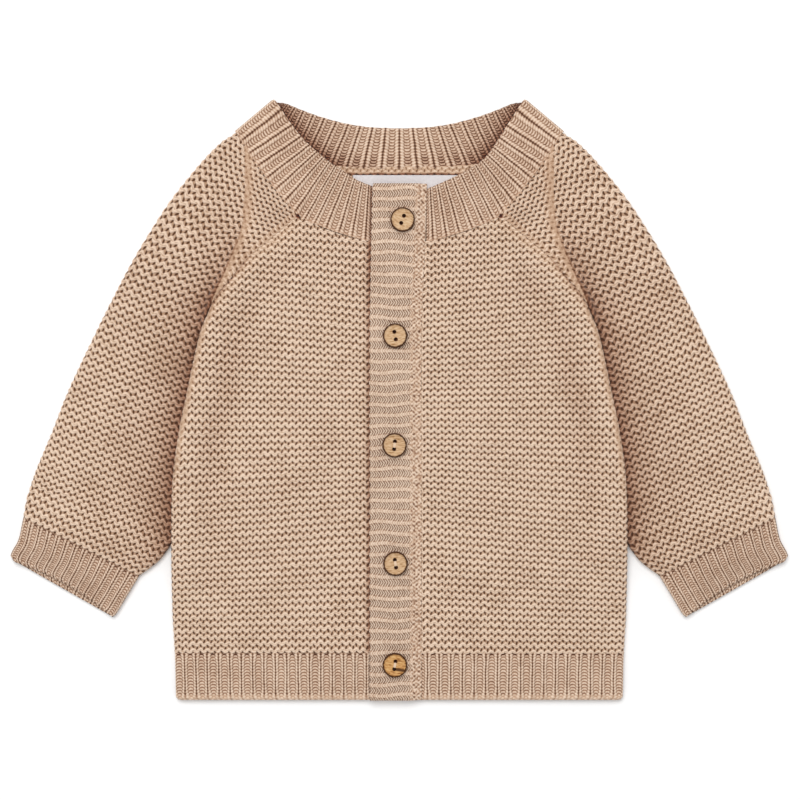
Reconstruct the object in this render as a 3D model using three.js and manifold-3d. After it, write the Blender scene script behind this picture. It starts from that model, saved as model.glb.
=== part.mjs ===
// Baby cardigan, size 3 to 6 months, knitted in garter stitch with 1x1 rib bands and laid flat, front up.
// Millimetres. +X is the right of the laid garment, +Y runs to the neck, +Z is up from the table.
// The origin is on the table, under the middle of the garment's bounding box.
import * as THREE from 'three';
import { mergeVertices } from 'three/addons/utils/BufferGeometryUtils.js';
import Module from 'manifold-3d';

// Cloth and seams
const CLOTH = 2.2; // thickness of the knitted cloth
const SEAM = 0.3; // clear gap between two pieces that are sewn together
const LAYER_GAP = 0.8; // air between the back layer and the front layer
const FRONT_Z = CLOTH + LAYER_GAP; // underside of the front layer
const FRONT_TOP = FRONT_Z + CLOTH; // upper side of the front layer
const FOLD_R = FRONT_TOP / 2; // outer radius of a fold or side seam
const EDGE_BLUNT = 0.12; // the rounded side seam ends this far short of a knife edge
const END_DROP = CLOTH * 0.45; // how far a rib's free end rounds off
const DEEPEST_DROP = CLOTH * 0.8; // no edge thins the cloth by more than this
const TUCK_LIFT = FRONT_TOP + SEAM; // the body's rise where it lies on the tucked sleeve

// 1x1 rib: one raised knit wale and one recessed purl column to each pitch
const RIB_DEPTH = 0.9;
const GROOVE_REACH = 0.25; // a groove's half width, in ribs
const HEM_RIBS = 17; // on each front, about 6.3 mm apart
const BAND_RIB_PITCH = 5.9;
const CUFF_RIBS = 12;
const RIB_PHASES = [0, 0.25, 0.75]; // groove, then the two shoulders of the wale
const FINE_RIB_PHASES = [0, 0.5];

// Heights above the hem line along the garment, as Y values
const HEM_Y = -165.0;
const HEM_JOIN_Y = -139.2;
const UNDERARM_Y = 44.8;
const NECK_FRONT_Y = 86.6; // the neck seam at the front opening
const NECK_SAG = -2.2; // how far the front neck seam bows down between its ends
const NECK_BACK_SIDE_Y = 132.5; // the back neck seam at the raglans and in the middle
const NECK_BACK_MIDDLE_Y = 126.9;
const HEM_CORNER_R = 2.4;

// Left edge of the body from the hem to the underarm. The right edge mirrors it.
const SIDE_EDGE = [
  { x: -122.8, y: HEM_Y },
  { x: -123.4, y: HEM_JOIN_Y },
  { x: -124.7, y: -115.8 },
  { x: -124.7, y: -77.8 },
  { x: -123.9, y: -42.6 },
  { x: -120.0, y: -14.0 },
  { x: -117.0, y: 0 },
  { x: -112.4, y: 22.3 },
  { x: -108.5, y: 38.2 },
  { x: -105.8, y: UNDERARM_Y },
];

// Raglan seams from the underarm to the neckband, as fractions of the sleeve's upper rows
const RAGLAN_FRONT = [
  { at: 0, x: -105.8, y: UNDERARM_Y },
  { at: 0.15, x: -99.7, y: 56.4 },
  { at: 0.3, x: -92.6, y: 65.2 },
  { at: 0.48, x: -83.8, y: 76.2 },
  { at: 0.65, x: -73.9, y: 85.0 },
  { at: 0.82, x: -64.0, y: 93.2 },
  { at: 1, x: -55.2, y: 100.9 },
];
const RAGLAN_BACK = [
  { at: 0, x: -105.8, y: UNDERARM_Y },
  { at: 0.5, x: -84.6, y: 88.8 },
  { at: 1, x: -63.0, y: 132.9 },
];

// The crease where the cloth inside the raglan lies over the sleeve. Below the underarm it is the side edge.
const CREASE = [
  { y: 115.0, x: -84.9 },
  { y: 95.4, x: -86.5 },
  { y: 72.3, x: -95.3 },
  { y: 55.5, x: -102.7 },
  { y: UNDERARM_Y, x: -105.8 },
];
// How high the crease lies along its length
const CREASE_LIFT = [
  { y: 115.0, lift: 0 },
  { y: 95.4, lift: 0.8 },
  { y: 72.3, lift: 2.6 },
  { y: 55.5, lift: 4.7 },
  { y: UNDERARM_Y, lift: TUCK_LIFT },
  { y: -74.0, lift: TUCK_LIFT },
  { y: -84.0, lift: TUCK_LIFT * 0.9 },
  { y: -112.0, lift: 0 },
];
const CREASE_FLAT = 6.5; // the lifted band beside the crease
const CREASE_FADE = 24; // where the body is down on the layer below again
const CREASE_STEP = 4.5; // width of the slope on the sleeve's side
const SLEEVE_DROP_Y = 27.5; // below the underarm the sleeve has come down to the table here

// Sleeve rows from the cuff to the neckband: inner edge on the front, outer fold, place of the crease
const SLEEVE_ROWS = [
  { at: 0, innerX: -143.0, innerY: -96.7, foldX: -206.6, foldY: -64.4, crease: 2.6, bow: 0 },
  { at: 0.07, innerX: -136.2, innerY: -92.0, foldX: -204.8, foldY: -54.2, crease: 2.6, bow: 0 },
  { at: 0.1, innerX: -130.8, innerY: -87.0, foldX: -202.3, foldY: -46.2, crease: 2.6, bow: 0 },
  { at: 0.13, innerX: -124.3, innerY: -76.9, foldX: -199.3, foldY: -37.7, crease: 2.6, bow: 0 },
  { at: 0.2, innerX: -120.5, innerY: -55.3, foldX: -192.1, foldY: -20.6, crease: 2.6, bow: 0 },
  { at: 0.29, innerX: -117.5, innerY: -30.5, foldX: -182.8, foldY: 3.0, crease: 2.6, bow: 0 },
  { at: 0.38, innerX: -112.9, innerY: -5.8, foldX: -173.4, foldY: 23.4, crease: 2.6, bow: 0 },
  { at: 0.46, innerX: -112.3, innerY: 14.5, foldX: -164.1, foldY: 42.6, crease: 2.6, bow: 0 },
  { at: 0.53, innerX: -111.0, innerY: 30.0, foldX: -158.0, foldY: 54.7, crease: 2.6, bow: 0 },
  { at: 0.59, innerX: -106.2, innerY: UNDERARM_Y, foldX: -152.0, foldY: 66.3, crease: 2.6, bow: 0 },
  { at: 0.65, innerX: -100.2, innerY: 56.4, foldX: -145.4, foldY: 78.4, crease: 3.2, bow: -0.2 },
  { at: 0.71, innerX: -93.1, innerY: 65.3, foldX: -137.1, foldY: 92.1, crease: 5.5, bow: -0.4 },
  { at: 0.78, innerX: -84.3, innerY: 76.3, foldX: -127.2, foldY: 107.5, crease: 9.7, bow: -0.7 },
  { at: 0.85, innerX: -74.4, innerY: 85.2, foldX: -116.2, foldY: 121.8, crease: 15, bow: -1.1 },
  { at: 0.92, innerX: -64.5, innerY: 93.4, foldX: -104.7, foldY: 135.0, crease: 19, bow: -1.6 },
  { at: 1, innerX: -55.6, innerY: 101.0, foldX: -91.3, foldY: 147.5, crease: 22, bow: -2.4 },
];
const SLEEVE_RAGLAN_AT = 0.59; // the row that meets the underarm
const SLEEVE_BACK_CLEAR = 0.4; // the back layer stands this far outside the back raglan line

// Cuff rows from the join to the free edge
const CUFF_ROWS = [
  { at: 0, innerX: -143.2, innerY: -97.1, foldX: -206.8, foldY: -64.8, bow: 0 },
  { at: 0.45, innerX: -150.0, innerY: -108.3, foldX: -209.4, foldY: -76.7, bow: 1.2 },
  { at: 0.93, innerX: -156.1, innerY: -118.3, foldX: -213.8, foldY: -85.6, bow: 3.2 },
  { at: 1, innerX: -157.7, innerY: -119.6, foldX: -212.6, foldY: -88.4, bow: 3.2 },
];

// Neckband sections from the front opening to the middle of the back, by way of the shoulder fold.
// The right side mirrors the left, apart from its free edge, which lies further out.
const BAND_FRONT = [
  { rib: 0, seamX: -15.6, seamY: 86.9, edgeX: -15.6, edgeY: 117.2, rightX: -15.6, rightY: 115.8 },
  { rib: 2.2, seamX: -31.0, seamY: 91.1, edgeX: -23.3, edgeY: 120.7, rightX: -23.8, rightY: 119.4 },
  { rib: 4.2, seamX: -44.7, seamY: 96.0, edgeX: -30.6, edgeY: 125.6, rightX: -32.3, rightY: 123.4 },
  { rib: 6.1, seamX: -55.0, seamY: 101.2, edgeX: -37.0, edgeY: 129.7, rightX: -40.3, rightY: 127.8 },
  { rib: 8.2, seamX: -66.2, seamY: 113.6, edgeX: -44.0, edgeY: 135.2, rightX: -47.4, rightY: 133.3 },
  { rib: 10.1, seamX: -75.5, seamY: 125.7, edgeX: -51.9, edgeY: 142.4, rightX: -53.4, rightY: 141.5 },
  { rib: 11.7, seamX: -83.1, seamY: 136.6, edgeX: -59.9, edgeY: 152.2, rightX: -60.0, rightY: 151.9 },
  { rib: 13, seamX: -88.6, seamY: 145.8, edgeX: -67.5, edgeY: 163.5, rightX: -67.5, rightY: 163.5 },
];
const FOLD_RIBS = 1.2; // ribs that go round the shoulder fold
const BAND_EDGE_AT = 0.95; // the neckband's free edge rolls down from here
const BAND_OUTSIDE_ROLL = 0.6;
const BAND_INSIDE_ROLL = 0.3;
const BAND_BACK = [
  { rib: 14.2, seamX: -88.6, seamY: 145.8, edgeX: -67.5, edgeY: 163.5 },
  { rib: 16.2, seamX: -79.9, seamY: 142.5, edgeX: -62.3, edgeY: 162.9 },
  { rib: 18.1, seamX: -66.8, seamY: 135.8, edgeX: -54.6, edgeY: 159.8 },
  { rib: 20.1, seamX: -54.6, seamY: 131.7, edgeX: -43.6, edgeY: 155.8 },
  { rib: 22.2, seamX: -39.8, seamY: 129.3, edgeX: -29.9, edgeY: 152.1 },
  { rib: 24.3, seamX: -21.6, seamY: 127.8, edgeX: -16.1, edgeY: 150.0 },
  { rib: 26.5, seamX: 0, seamY: 127.3, edgeX: 0, edgeY: 149.3 },
];
const BAND_RIBS = 53;

// Front opening: the buttonhole band lies over the button band
const OPENING_LEFT_X = -15.0; // where the left front and its band meet, under the buttonhole band
const PLACKET_ROWS = [
  { y: 118.5, leftX: -14.7, rightX: 15.2 },
  { y: 85.5, leftX: -15.6, rightX: 14.2 },
  { y: 38.2, leftX: -16.4, rightX: 12.3 },
  { y: -50, leftX: -16.4, rightX: 12.3 },
  { y: HEM_Y, leftX: -16.4, rightX: 12.3 },
];
const PLACKET_Z = FRONT_TOP + SEAM;
const PLACKET_STEP = 8; // the band comes down to the right front over this width
const PLACKET_GROOVE = 0.8; // its grooves are this share of a full rib's
const PLACKET_EDGE = 1.2; // width of its rounded free edge
const PLACKET_EDGE_DROP = 0.5;
const PLACKET_SEAM_RISE = 0.2;
const BUTTON_BAND_RIGHT_X = 3;
const BUTTON_BAND_TOP_Y = 116.5;

// Buttons: wood, 13.4 mm across, two holes
const BUTTON_R = 6.7;
const BUTTON_H = 2.6;
const BUTTON_RIM = 1.2;
const BUTTON_DISH = 0.4;
const BUTTON_EDGE_R = 0.7;
const HOLE_R = 0.95;
const HOLE_SPACING = 4.2;
const BUTTON_Z = PLACKET_Z + CLOTH + SEAM;
const BUTTONS = [
  { x: 1.8, y: 98.4, turnDeg: -21 },
  { x: -2.3, y: 34.9, turnDeg: 11 },
  { x: -2.6, y: -25.0, turnDeg: -6 },
  { x: -2.1, y: -89.7, turnDeg: 9 },
  { x: -2.4, y: -145.2, turnDeg: -9 },
];

// Neck label: a blank woven strip sewn under the back neck
const LABEL_W = 58.5;
const LABEL_H = 18;
const LABEL_T = 0.5;
const LABEL_X = 3.6;
const LABEL_TOP_Y = 123.4;
const LABEL_CORNER_R = 1.5;

// Crowns: how far the upper layer bulges in the middle of a piece
const FRONT_CROWN = 0.9;
const SLEEVE_CROWN = 1.4;

const WOOL = { color: 0xd9bba0, roughness: 0.95, metalness: 0 };
const WOOD = { color: 0xc99a63, roughness: 0.5, metalness: 0 };
const SATIN = { color: 0xeceaf0, roughness: 0.6, metalness: 0 };

const cardigan = new THREE.Group();

const mix = (a, b, t) => a + (b - a) * t;
const clamp01 = (t) => Math.min(1, Math.max(0, t));
const ease = (t) => {
  const c = clamp01(t);
  return c * c * (3 - 2 * c);
};

// Reads a table of sections at any place on its key column, with smooth tangents between its rows
function readTable(table, key, at) {
  const sign = Math.sign(table[table.length - 1][key] - table[0][key]);
  let i = 0;
  while (i < table.length - 2 && (at - table[i + 1][key]) * sign > 0) {
    i += 1;
  }
  const a = table[i];
  const b = table[i + 1];
  const before = table[Math.max(0, i - 1)];
  const after = table[Math.min(table.length - 1, i + 2)];
  const span = b[key] - a[key];
  const t = clamp01((at - a[key]) / span);
  const row = {};
  for (const name of Object.keys(a)) {
    const startSlope = ((b[name] - before[name]) / (b[key] - before[key])) * span;
    const endSlope = ((after[name] - a[name]) / (after[key] - a[key])) * span;
    const t2 = t * t;
    const t3 = t2 * t;
    row[name] = (2 * t3 - 3 * t2 + 1) * a[name] + (t3 - 2 * t2 + t) * startSlope
      + (3 * t2 - 2 * t3) * b[name] + (t3 - t2) * endSlope;
  }
  return row;
}

// Rise of every layer over the tucked sleeve at a point of the left half
function liftAt(x, y) {
  if (y > CREASE_LIFT[0].y || y < CREASE_LIFT[CREASE_LIFT.length - 1].y) {
    return 0;
  }
  const crease = readTable(y > UNDERARM_Y ? CREASE : SIDE_EDGE, 'y', y);
  const inward = x - crease.x;
  const lift = Math.max(0, Math.min(TUCK_LIFT, readTable(CREASE_LIFT, 'y', y).lift));
  if (inward < 0) {
    return lift * (1 - ease(-inward / CREASE_STEP));
  }
  return lift * (1 - ease((inward - CREASE_FLAT) / (CREASE_FADE - CREASE_FLAT)));
}

// Drop of a rounded edge at a distance from it
function edgeDrop(distance) {
  const reach = clamp01(1 - (distance + EDGE_BLUNT) / FOLD_R);
  return FOLD_R * (1 - Math.sqrt(1 - reach * reach));
}

// Depth of a rib groove at a rib number: full at whole numbers, none on the wale between them
function grooveDepth(rib) {
  const fromGroove = Math.abs(rib - Math.round(rib));
  return RIB_DEPTH * clamp01(1 - fromGroove / GROOVE_REACH);
}

// A closed wall between an outer and an inner grid of points, facing out
function wall(outer, inner) {
  const rows = outer.length;
  const columns = outer[0].length;
  const positions = [];
  for (const grid of [outer, inner]) {
    for (const row of grid) {
      for (const point of row) {
        positions.push(point.x, point.y, point.z);
      }
    }
  }
  const index = [];
  const outerAt = (j, i) => j * columns + i;
  const innerAt = (j, i) => (rows + j) * columns + i;
  const quad = (a, b, c, d) => index.push(a, b, c, a, c, d);
  for (let j = 0; j < rows - 1; j += 1) {
    for (let i = 0; i < columns - 1; i += 1) {
      quad(outerAt(j, i), outerAt(j, i + 1), outerAt(j + 1, i + 1), outerAt(j + 1, i));
      quad(innerAt(j, i), innerAt(j + 1, i), innerAt(j + 1, i + 1), innerAt(j, i + 1));
    }
  }
  for (let i = 0; i < columns - 1; i += 1) {
    quad(outerAt(0, i + 1), outerAt(0, i), innerAt(0, i), innerAt(0, i + 1));
    const j = rows - 1;
    quad(outerAt(j, i), outerAt(j, i + 1), innerAt(j, i + 1), innerAt(j, i));
  }
  for (let j = 0; j < rows - 1; j += 1) {
    quad(outerAt(j, 0), outerAt(j + 1, 0), innerAt(j + 1, 0), innerAt(j, 0));
    const i = columns - 1;
    quad(outerAt(j + 1, i), outerAt(j, i), innerAt(j, i), innerAt(j + 1, i));
  }
  const geometry = new THREE.BufferGeometry();
  geometry.setAttribute('position', new THREE.Float32BufferAttribute(positions, 3));
  geometry.setIndex(index);
  return facingOut(geometry);
}

// Turns the faces round if the enclosed volume comes out negative
function facingOut(geometry) {
  const p = geometry.attributes.position;
  const index = geometry.index.array;
  const a = new THREE.Vector3();
  const b = new THREE.Vector3();
  const c = new THREE.Vector3();
  let volume = 0;
  for (let i = 0; i < index.length; i += 3) {
    a.fromBufferAttribute(p, index[i]);
    b.fromBufferAttribute(p, index[i + 1]);
    c.fromBufferAttribute(p, index[i + 2]);
    volume += a.dot(b.cross(c));
  }
  if (volume < 0) {
    for (let i = 0; i < index.length; i += 3) {
      const swap = index[i];
      index[i] = index[i + 1];
      index[i + 1] = swap;
    }
  }
  return geometry;
}

function mirrored(geometry) {
  const copy = geometry.clone();
  copy.scale(-1, 1, 1);
  return facingOut(copy);
}

function addPiece(name, geometry, finish) {
  geometry.computeVertexNormals();
  const mesh = new THREE.Mesh(geometry, new THREE.MeshStandardMaterial(finish));
  mesh.name = name;
  cardigan.add(mesh);
  return mesh;
}

const point = (x, y, z) => new THREE.Vector3(x, y, z);

// Distances of a body panel's columns from its side edge, close together at the rounded seam
const EDGE_COLUMNS = [0, 0.4, 1.2, 2.8, 8, 13, 18, 24];
const PANEL_WIDTH_FOR_COLUMNS = 60;
const SIDE_ROWS = [HEM_JOIN_Y + SEAM, -128, -112, -98, -84, -70, -50, -28, -8, 10, 26, 38];
const RAGLAN_ROW_FRACTIONS = [0, 0.15, 0.3, 0.48, 0.65, 0.82, 1];

// Rows of a front on the left half: the side edge, the opening edge and how round the side seam is
function frontRows(openingX) {
  const rows = SIDE_ROWS.map((y) => {
    const edge = readTable(SIDE_EDGE, 'y', y);
    return { x: edge.x, y, farX: openingX(y), farY: y, bow: 0, round: 1 };
  });
  for (const at of RAGLAN_ROW_FRACTIONS) {
    const seam = readTable(RAGLAN_FRONT, 'at', at);
    const farY = mix(UNDERARM_Y, NECK_FRONT_Y, at) - SEAM;
    rows.push({
      x: seam.x,
      y: seam.y - (at === 1 ? SEAM : 0),
      farX: openingX(farY),
      farY,
      bow: NECK_SAG * at,
      round: at === 0 ? 1 : 0,
    });
  }
  return rows;
}

// openingX gives the edge at the front opening at a height
function frontPanel(openingX) {
  const outer = [];
  const inner = [];
  const rows = frontRows(openingX);
  rows.forEach((row, j) => {
    const width = row.farX - row.x;
    const squeeze = Math.min(1, width / PANEL_WIDTH_FOR_COLUMNS);
    const offsets = EDGE_COLUMNS.map((d) => d * squeeze);
    const last = offsets[offsets.length - 1];
    for (const part of [0.25, 0.5, 0.75, 1]) {
      offsets.push(mix(last, width, part));
    }
    const upper = [];
    const lower = [];
    for (const offset of offsets) {
      const across = offset / width;
      const x = row.x + offset;
      const y = mix(row.y, row.farY, across) + row.bow * 4 * across * (1 - across);
      const lift = liftAt(x, y);
      const crown = FRONT_CROWN * Math.sin(Math.PI * across) * Math.sin((Math.PI * j) / (rows.length - 1));
      upper.push(point(x, y, FRONT_TOP + lift + crown - row.round * edgeDrop(offset)));
      lower.push(point(x, y, FRONT_Z + lift + crown * 0.5));
    }
    outer.push(upper);
    inner.push(lower);
  });
  return wall(outer, inner);
}

function backPanel() {
  const sideRows = SIDE_ROWS.map((y) => ({ ...readTable(SIDE_EDGE, 'y', y), middleY: y, round: 1 }));
  const raglanRows = RAGLAN_ROW_FRACTIONS.map((at) => {
    const seam = readTable(RAGLAN_BACK, 'at', at);
    return {
      x: seam.x,
      y: at === 1 ? NECK_BACK_SIDE_Y : seam.y,
      middleY: mix(UNDERARM_Y, NECK_BACK_MIDDLE_Y, at),
      round: at === 0 ? 1 : 0,
    };
  });
  const upper = [];
  const lower = [];
  for (const row of [...sideRows, ...raglanRows]) {
    const half = -row.x;
    const squeeze = Math.min(1, half / PANEL_WIDTH_FOR_COLUMNS);
    const left = EDGE_COLUMNS.map((d) => d * squeeze);
    left.push(mix(left[left.length - 1], half, 0.5));
    const offsets = [...left, half, ...left.map((d) => 2 * half - d).reverse()];
    const top = [];
    const bottom = [];
    for (const offset of offsets) {
      const x = row.x + offset;
      const fromMiddle = x / half;
      const y = mix(row.middleY, row.y, fromMiddle * fromMiddle);
      const lift = liftAt(-Math.abs(x), y);
      const drop = row.round * edgeDrop(half - Math.abs(x));
      top.push(point(x, y, CLOTH + lift));
      bottom.push(point(x, y, lift + drop));
    }
    upper.push(top);
    lower.push(bottom);
  }
  return wall(lower, upper);
}

const FOLD_ANGLES = [30, 60, 90, 120, 150]; // degrees round the fold from the front

// A flattened tube: the front layer from the inner seam to the outer fold, round it, and the back layer
// rows gives front and back inner edges and the fold; lines gives the columns of each layer
function foldedTube(rows, lines) {
  const outer = [];
  const inner = [];
  for (const row of rows) {
    const upper = [];
    const lower = [];
    const fold = new THREE.Vector2(row.foldX, row.foldY);
    const front = new THREE.Vector2(row.innerX, row.innerY);
    const back = new THREE.Vector2(row.backX, row.backY);
    const outward = fold.clone().sub(front).add(fold).sub(back).normalize();
    const bend = fold.clone().addScaledVector(outward, -FOLD_R);
    const layerPoint = (start, across, bow) => {
      const line = bend.clone().sub(start);
      const side = new THREE.Vector2(line.y, -line.x).normalize();
      const bulge = bow * 4 * across * (1 - across);
      return start.clone().addScaledVector(line, across).addScaledVector(side, bulge);
    };
    for (const line of lines.front(row, front.distanceTo(bend))) {
      const p = layerPoint(front, line.across, row.bow);
      const lift = lines.lift(p.x, p.y, row);
      upper.push(point(p.x, p.y, FRONT_TOP + lift + line.crown - line.drop));
      lower.push(point(p.x, p.y, FRONT_Z + lift + line.crown * 0.5));
    }
    for (const angle of FOLD_ANGLES) {
      const turn = THREE.MathUtils.degToRad(angle);
      for (const [list, radius] of [[upper, FOLD_R], [lower, LAYER_GAP / 2]]) {
        const p = bend.clone().addScaledVector(outward, radius * Math.sin(turn));
        list.push(point(p.x, p.y, FOLD_R + radius * Math.cos(turn)));
      }
    }
    for (const line of lines.back(row, back.distanceTo(bend))) {
      const p = layerPoint(back, line.across, 0);
      const lift = lines.lift(p.x, p.y, row);
      upper.push(point(p.x, p.y, lift + line.drop));
      lower.push(point(p.x, p.y, CLOTH + lift));
    }
    outer.push(upper);
    inner.push(lower);
  }
  return wall(outer, inner);
}

const TUBE_EDGE_COLUMNS = [0, 0.4, 1.2];
const TUBE_EDGE_SPAN = 1.8; // the edge columns fill this much, or stretch to reach the crease
const CREASE_COLUMNS = [0, 1.1, 2.3, 3.4, 4.5];
const COLUMNS_LEFT_OUT_BEHIND = [4, 6]; // the back layer of a sleeve does without these

function sleeve() {
  const rows = SLEEVE_ROWS.map((row) => {
    if (row.at < SLEEVE_RAGLAN_AT) {
      return { ...row, backX: row.innerX, backY: row.innerY, round: 1 };
    }
    const raglan = readTable(RAGLAN_BACK, 'at', (row.at - SLEEVE_RAGLAN_AT) / (1 - SLEEVE_RAGLAN_AT));
    const round = row.at === SLEEVE_RAGLAN_AT ? 1 : 0;
    return { ...row, backX: raglan.x - SLEEVE_BACK_CLEAR, backY: raglan.y, round };
  });
  const along = (row) => Math.sin(Math.PI * row.at);
  const startOffsets = (row) => {
    const edge = TUBE_EDGE_COLUMNS.map((d) => (row.round ? d : (d / TUBE_EDGE_SPAN) * row.crease));
    return [...edge, ...CREASE_COLUMNS.map((d) => row.crease + d)];
  };
  return foldedTube(rows, {
    front: (row, width) => {
      const start = startOffsets(row);
      const last = start[start.length - 1];
      const offsets = [...start, ...[0.25, 0.5, 0.75, 1].map((part) => mix(last, width, part))];
      return offsets.map((offset) => ({
        across: offset / width,
        crown: SLEEVE_CROWN * Math.sin((Math.PI * offset) / width) * along(row),
        drop: row.round * edgeDrop(offset),
      }));
    },
    back: (row, width) => {
      const start = startOffsets(row).filter((offset, i) => !COLUMNS_LEFT_OUT_BEHIND.includes(i));
      const last = start[start.length - 1];
      const offsets = [...start, ...[0.4, 1].map((part) => mix(last, width, part))].reverse();
      return offsets.map((offset) => ({ across: offset / width, drop: row.round * edgeDrop(offset) }));
    },
    lift: (x, y, row) => {
      if (row.at < SLEEVE_RAGLAN_AT) {
        const fade = ease((row.innerY - SLEEVE_DROP_Y) / (UNDERARM_Y - SLEEVE_DROP_Y));
        return liftAt(x, Math.max(y, UNDERARM_Y)) * fade * fade;
      }
      return liftAt(x, Math.max(y, UNDERARM_Y));
    },
  });
}

function cuff() {
  const rows = CUFF_ROWS.map((row) => ({ ...row, backX: row.innerX, backY: row.innerY }));
  const edge = TUBE_EDGE_COLUMNS;
  const endDrop = (row) => (row.at === 1 ? END_DROP : 0);
  return foldedTube(rows, {
    front: (row, width) => {
      const lines = edge.map((d) => ({
        across: d / width,
        crown: 0,
        drop: Math.min(edgeDrop(d) + endDrop(row), DEEPEST_DROP),
      }));
      const first = (edge[edge.length - 1] + 1) / width;
      for (let rib = 0; rib < CUFF_RIBS; rib += 1) {
        for (const phase of RIB_PHASES) {
          const groove = row.at === 1 ? endDrop(row) : grooveDepth(rib + phase);
          lines.push({ across: mix(first, 1, (rib + phase) / CUFF_RIBS), crown: 0, drop: groove });
        }
      }
      lines.push({ across: 1, crown: 0, drop: endDrop(row) });
      return lines;
    },
    back: (row, width) => {
      const offsets = [width, width / 2, 2.8, 1.2, 0.4, 0];
      return offsets.map((offset) => ({ across: offset / width, drop: edgeDrop(offset) }));
    },
    lift: () => 0,
  });
}

// Rib numbers from start to end with a column at each phase of the rib
function ribColumns(ribs, phases) {
  const columns = [];
  for (let rib = 0; rib < ribs; rib += 1) {
    for (const phase of phases) {
      columns.push(rib + phase);
    }
  }
  columns.push(ribs);
  return columns;
}

const HEM_ROWS = [
  { y: HEM_JOIN_Y, drop: 0, inset: 0 },
  { y: HEM_Y + 1.6, drop: 0, inset: 0 },
  { y: HEM_Y, drop: END_DROP, inset: HEM_CORNER_R * 0.5 },
];

function frontHem(farX) {
  const outer = [];
  const inner = [];
  for (const row of HEM_ROWS) {
    const edge = readTable(SIDE_EDGE, 'y', row.y);
    const startX = edge.x + row.inset;
    const upper = [];
    const lower = [];
    const place = (x, drop) => {
      upper.push(point(x, row.y, FRONT_TOP - drop));
      lower.push(point(x, row.y, FRONT_Z));
    };
    for (const offset of TUBE_EDGE_COLUMNS) {
      place(startX + offset, Math.min(edgeDrop(offset) + row.drop, DEEPEST_DROP));
    }
    const firstX = startX + TUBE_EDGE_COLUMNS[TUBE_EDGE_COLUMNS.length - 1] + 1;
    for (const rib of ribColumns(HEM_RIBS, RIB_PHASES)) {
      place(mix(firstX, farX, rib / HEM_RIBS), row.drop || grooveDepth(rib));
    }
    outer.push(upper);
    inner.push(lower);
  }
  return wall(outer, inner);
}

function backHem() {
  const upper = [];
  const lower = [];
  for (const row of HEM_ROWS) {
    const edge = readTable(SIDE_EDGE, 'y', row.y);
    const half = -edge.x - row.inset;
    const left = [0, 0.4, 1.2, 2.8, half / 3, (half * 2) / 3];
    const offsets = [...left, half, ...left.map((d) => 2 * half - d).reverse()];
    upper.push(offsets.map((offset) => point(offset - half, row.y, CLOTH - row.drop * 0.5)));
    lower.push(offsets.map((offset) => {
      const drop = edgeDrop(Math.min(offset, 2 * half - offset));
      return point(offset - half, row.y, Math.min(drop + row.drop * 0.3, END_DROP));
    }));
  }
  return wall(lower, upper);
}

// One cross-section of the neckband at a rib number counted from the left side of the front opening
function bandSection(ribFromLeft) {
  const flip = ribFromLeft > BAND_RIBS / 2 ? -1 : 1;
  const rib = flip > 0 ? ribFromLeft : BAND_RIBS - ribFromLeft;
  const foldStart = BAND_FRONT[BAND_FRONT.length - 1].rib;
  const foldEnd = BAND_BACK[0].rib;
  let row;
  let turn;
  if (rib <= foldStart) {
    row = readTable(BAND_FRONT, 'rib', rib);
    turn = 0;
  } else if (rib >= foldEnd) {
    row = readTable(BAND_BACK, 'rib', rib);
    turn = Math.PI;
  } else {
    row = BAND_BACK[0];
    turn = (Math.PI * (rib - foldStart)) / FOLD_RIBS;
  }
  const seam = new THREE.Vector2(row.seamX, row.seamY);
  const ownEdge = flip < 0 && rib <= foldStart;
  const edge = new THREE.Vector2(ownEdge ? row.rightX : row.edgeX, ownEdge ? row.rightY : row.edgeY);
  const along = edge.clone().sub(seam).normalize();
  const outward = new THREE.Vector2(-along.y, along.x);
  const groove = grooveDepth(rib);
  const outsideGroove = turn < Math.PI / 2 ? groove : 0;
  const insideGroove = turn > Math.PI / 2 ? groove : 0;
  const ring = (radius, across) => {
    const p = seam.clone().lerp(edge, across);
    p.addScaledVector(outward, radius * Math.sin(turn));
    return point(p.x * flip, p.y, FOLD_R + radius * Math.cos(turn));
  };
  const outside = FOLD_R - outsideGroove;
  const inside = LAYER_GAP / 2 + insideGroove;
  const rollOut = Math.min(outside, FOLD_R - BAND_OUTSIDE_ROLL);
  const rollIn = Math.max(inside, LAYER_GAP / 2 + BAND_INSIDE_ROLL);
  return {
    outer: [ring(outside, 0), ring(outside, BAND_EDGE_AT), ring(rollOut, 1)],
    inner: [ring(inside, 0), ring(inside, BAND_EDGE_AT), ring(rollIn, 1)],
  };
}

function neckband() {
  const sections = ribColumns(BAND_RIBS, RIB_PHASES).map(bandSection);
  return wall(sections.map((s) => s.outer), sections.map((s) => s.inner));
}

// Buttonhole band: ribs across it, flat on the button band and stepping down to the right front
function placket() {
  const topY = PLACKET_ROWS[0].y;
  const ribs = Math.round((topY - HEM_Y) / BAND_RIB_PITCH);
  const outer = [];
  const inner = [];
  for (const rib of ribColumns(ribs, FINE_RIB_PHASES)) {
    const y = mix(topY, HEM_Y, rib / ribs);
    const row = readTable(PLACKET_ROWS, 'y', y);
    const groove = rib === 0 || rib === ribs ? RIB_DEPTH : grooveDepth(rib) * PLACKET_GROOVE;
    const top = PLACKET_Z + CLOTH - groove;
    const columns = [
      { x: row.leftX, top: top - PLACKET_EDGE_DROP, bottom: PLACKET_Z },
      { x: row.leftX + PLACKET_EDGE, top, bottom: PLACKET_Z },
      { x: row.rightX - PLACKET_STEP, top, bottom: PLACKET_Z },
      { x: row.rightX, top: FRONT_TOP + PLACKET_SEAM_RISE - groove * 0.5, bottom: FRONT_Z },
    ];
    outer.push(columns.map((c) => point(c.x, y, c.top)));
    inner.push(columns.map((c) => point(c.x, y, c.bottom)));
  }
  return wall(outer, inner);
}

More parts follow.
